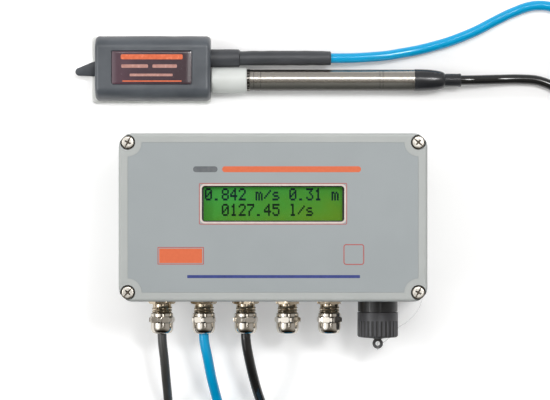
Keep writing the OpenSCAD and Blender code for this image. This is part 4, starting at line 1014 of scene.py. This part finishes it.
def probe_section(inset, x, top):
    """Cross-section of the velocity probe at a place, drawn in from its full size by an inset."""
    wave = SIDE_WAVE[0] * wobble.noise(Vector((x * SIDE_WAVE[1], 3.1, 0.4)))
    side = PROBE_W / 2 - SIDE_LIP - inset + wave
    crown = top - inset
    flat = PROBE_FLAT / 2 - inset * 0.6
    count = round(PROBE_FLAT / GRID)
    half = [(side, z) for z in (0, 2, 4, 6)]
    half += [(flat + (side - flat) * math.cos(a), SHOULDER_Z + (crown - SHOULDER_Z) * math.sin(a))
             for a in angles(0, 90, 14)]
    middle = [(flat - 2 * flat * k / count, crown) for k in range(1, count)]
    return half + middle + [(-y, z) for y, z in reversed(half)]


def label_dip(x, y, centre, size):
    """How far the label's recess lowers the probe's top at a place."""
    dx = abs(x - centre[0]) - size[0] / 2 + LABEL_R
    dy = abs(y - centre[1]) - size[1] / 2 + LABEL_R
    outside = math.hypot(max(dx, 0), max(dy, 0)) + min(max(dx, dy), 0) - LABEL_R
    t = min(max(0.5 - outside / (1.2 * GRID), 0), 1)
    return LABEL_DEPTH * t * t * (3 - 2 * t)


def add_probe_block(bm, x0, x1, probe_y, top, centre, size):
    """Adds the probe's soft block, with the label's recess in its top."""
    quarter = angles(0, 90, 9)
    count = round((x1 - x0 - 2 * END_ROUND) / GRID)
    middle = [x0 + END_ROUND + (x1 - x0 - 2 * END_ROUND) * k / count for k in range(1, count)]
    stations = [(x0 + END_ROUND * (1 - math.cos(a)), END_ROUND * (1 - math.sin(a))) for a in quarter]
    stations += [(x, 0) for x in middle]
    stations += [(x1 - END_ROUND * (1 - math.sin(a)), END_ROUND * (1 - math.cos(a))) for a in quarter]
    rows = []
    for x, inset in stations:
        row = []
        for y, z in probe_section(inset, x, top):
            place = Vector((x, probe_y + y, z))
            if z > SHOULDER_Z:
                soft = TOP_WAVE[0] * wobble.noise(Vector((x * TOP_WAVE[1], y * TOP_WAVE[2], 1.7)))
                place.z += soft * min(1, (z - SHOULDER_Z) / 8)
            if z > top - 1:
                place.z -= label_dip(x, probe_y + y, centre, size)
            row.append(bm.verts.new(place * MM))
        rows.append(row)
    join_rows(bm, rows)


def add_lug(bm, tip_x, root_x, probe_y):
    """Adds the tow lug: a tongue with a round tip, its upper edge sloping out to the probe."""
    tip = tip_x + LUG_TIP_R
    base = probe_y - 1.6
    outline = [(tip + LUG_TIP_R * math.cos(a), base + LUG_TIP_R * math.sin(a))
               for a in angles(100, 270, 10)]
    outline += [(root_x, base - LUG_TIP_R - 0.4), (root_x, base + 8.2), (root_x - 4, base + 7.0)]
    points = [Vector(p) for p in outline]
    middle = sum(points, Vector((0, 0))) / len(points)
    stack(bm, [([tuple(middle + (p - middle) * draw) for p in points], z) for draw, z in LUG_EDGE])


def make_velocity_probe():
    """The moulded probe: a soft block on a thin foot, with its tow lug."""
    low, high = span("velocity_body")
    label_low, label_high = span("velocity_label")
    centre = middle_of("velocity_label")
    size = label_high - label_low + Vector((2, 2, 0)) * LABEL_GAP
    probe_y = middle_of("velocity_body").y
    x0 = high.x - PROBE_L + END_LIP
    bm = bmesh.new()
    add_probe_block(bm, x0, high.x - RIGHT_LIP, probe_y + BLOCK_SHIFT, high.z, centre, size)
    foot_x = high.x - PROBE_L / 2
    stack(bm, [(rounded_box(foot_x, probe_y, PROBE_L - 2 * draw, PROBE_W - 2 * draw, FOOT_CORNER), z)
               for draw, z in FOOT_EDGE])
    add_lug(bm, low.x, x0 + 1, probe_y)
    shell = finish(bm, "velocity_shell", "probe_grey", sharp=50)
    stand_for(shell, "velocity_body")


def make_velocity_label():
    """The glossy domed label, with plain bars where its lettering is."""
    low, high = span("velocity_label")
    middle = middle_of("velocity_label").xy
    l, w = (high - low).xy
    bm = bmesh.new()
    stack(bm, [
        (rounded_box(*middle, l - 2 * LABEL_SLOPE[0] * draw, w - 2 * LABEL_SLOPE[1] * draw, LABEL_R), z)
        for draw, z in [(0, low.z), (0, high.z - LABEL_CROWN - 0.1)] + [
            (k / 12, high.z + 0.05 - LABEL_CROWN * (1 - k / 12) ** 2) for k in range(13)
        ]
    ])
    label = finish(bm, "velocity_label_gloss", "label_plum", sharp=60)
    stand_for(label, "velocity_label")
    for name, bars, material in (
        ("label_orange_bars", LABEL_ORANGE, "label_orange"), ("label_pink_bars", LABEL_PINK, "label_pink"),
    ):
        forms = [(rounded_box(*bar, bar[3] * 0.3),) for bar in bars]
        print_piece(name, forms, high.z + LABEL_LIFT, material)


def shrunk(inner, depth, seed):
    """Radius of rubber shrunk on a cable: a little uneven outside, round inside."""
    def reach(radius, s, a):
        if radius < inner + 0.2:
            return radius
        return radius + depth * wobble.noise(Vector((s * 0.11, 0.8 * math.cos(a) + seed, 0.8 * math.sin(a))))
    return reach


def make_velocity_boot():
    """The probe's cable boot and the long sleeve shrunk on the cable beyond it."""
    inner = VELOCITY_D / 2 + 0.1
    for node, name, crown, lip, depth, seed in RUBBERS:
        low, high = span(node)
        r = (high.y - low.y) / 2
        end_r = r - crown - lip
        length = high.x - low.x - 0.9
        count = 48
        outside = [(r - crown + crown * math.sin(math.pi * k / count), low.x + length * k / count)
                   for k in range(count + 1)]
        profile = [(inner, low.x)] + outside
        profile += [(end_r, high.x - 0.25), (end_r - 0.6, high.x), (inner, high.x)]
        bm = bmesh.new()
        lathe(bm, profile, axis_of(node), ALONG_X, 64, reach=shrunk(inner, depth, seed))
        stand_for(finish(bm, name, "sleeve_grey", sharp=60), node)


def make_depth_boot():
    """The depth probe's rear boot: a smooth ogive that runs into a sleeve on the cable."""
    low, high = span("depth_boot")
    start = span("depth_tube")[1].x
    inner = DEPTH_D / 2 + 0.1
    end_r = SLEEVE_R - 0.25
    nose = start + 0.1
    shares = [k / 24 for k in range(25)]
    ogive = [(end_r + (OGIVE_R - end_r) * (1 - share ** OGIVE_POWER) ** 0.5, nose + (OGIVE_L - 0.1) * share)
             for share in shares]
    profile = (
        [(inner, low.x), (SPIGOT_R, low.x), (SPIGOT_R, nose), (OGIVE_R - 0.2, nose)] + ogive
        + [(SLEEVE_R - 0.1, start + OGIVE_L + 0.5), (SLEEVE_R, start + OGIVE_L + 1.2),
           (SLEEVE_R, high.x - 2.2), (SLEEVE_R + 0.12, high.x - 1.8), (SLEEVE_R + 0.12, high.x - 0.5),
           (SLEEVE_R - 0.3, high.x), (inner, high.x)]
    )
    bm = bmesh.new()
    lathe(bm, profile, axis_of("depth_tube"), ALONG_X)
    stand_for(finish(bm, "depth_boot_rubber", "boot_black", sharp=40), "depth_boot")


def add_lobe(tree, level, direction, full, gone, amount):
    """Adds a soft patch to the world's level, by the angle from a direction."""
    inputs = {0: add_node(tree, "TexCoord", "Generated", {}), 1: Vector(direction).normalized()}
    towards = add_node(tree, "VectorMath", "Value", inputs, operation="DOT_PRODUCT")
    start, end = [math.cos(math.radians(angle)) for angle in (gone, full)]
    patch = spread(tree, towards, 0, amount, start, end, interpolation_type="SMOOTHSTEP")
    return combined(tree, "ADD", level, patch)


def make_world():
    """A plain studio with soft patches of light, white where the camera sees it."""
    world = bpy.data.worlds.new("world")
    bpy.context.scene.world = world
    world.use_nodes = True
    tree = world.node_tree
    level = STUDIO_LEVEL
    for lobe in LOBES:
        level = add_lobe(tree, level, *lobe)
    seen = add_node(tree, "LightPath", "Is Camera Ray", {})
    set_inputs(tree, tree.nodes["Background"], {
        "Color": ramp(tree, level, (0.15, (1.0, 0.90, 0.78)), (0.6, (1.0, 1.0, 1.0))),
        "Strength": add_node(tree, "Mix", "Result", {"Factor": seen, "A": level, "B": 1}),
    })


def make_stage():
    """White floor, with painted shade round the depth probe, and the lamps."""
    bpy.ops.mesh.primitive_plane_add(size=FLOOR_SIZE, location=(0, 0, FLOOR_Z))
    floor = bpy.context.object
    floor.name = "floor"
    tree, shader = new_material("floor")
    seen = combined(tree, "ADD", add_node(tree, "LightPath", "Is Camera Ray", {}),
                    add_node(tree, "LightPath", "Is Glossy Ray", {}))
    # Painted shade: less glow in a band round the depth probe deepens its shadows there
    along = axis_value(tree, "Y")
    band = combined(tree, "MULTIPLY", spread(tree, along, 0, 1, *DEEP_START_Y),
                    spread(tree, along, 1, 0, *DEEP_END_Y))
    side = spread(tree, axis_value(tree, "X"), 0, DEEP_SHARE, *DEEP_START_X)
    glow = combined(tree, "SUBTRACT", seen, combined(tree, "MULTIPLY", band, side))
    set_inputs(tree, shader, {
        "Base Color": (FLOOR_COLOUR, FLOOR_COLOUR, FLOOR_COLOUR, 1), "Roughness": 0.9,
        "Specular IOR Level": 0.1, "Emission Color": (1, 1, 1, 1),
        "Emission Strength": spread(tree, glow, 0, FLOOR_GLOW, 0, 1),
    })
    floor.data.materials.append(MATERIALS["floor"])

    for name, place, length, width, power in LAMPS:
        data = bpy.data.lights.new(name, "AREA")
        data.shape = "RECTANGLE"
        data.size = length
        data.size_y = width
        data.energy = power
        lamp = add_object(name, data)
        lamp.location = place
        lamp.rotation_mode = "QUATERNION"
        lamp.rotation_quaternion = (-Vector(place)).to_track_quat("-Z", "Y")


make_camera()
make_cables()
dress_cad_nodes()
dress_turned_nodes()
make_glands()
make_screws()
make_lanyard()
make_front_print()
make_reading()
make_velocity_probe()
make_velocity_label()
make_velocity_boot()
make_depth_boot()
make_world()
make_stage()
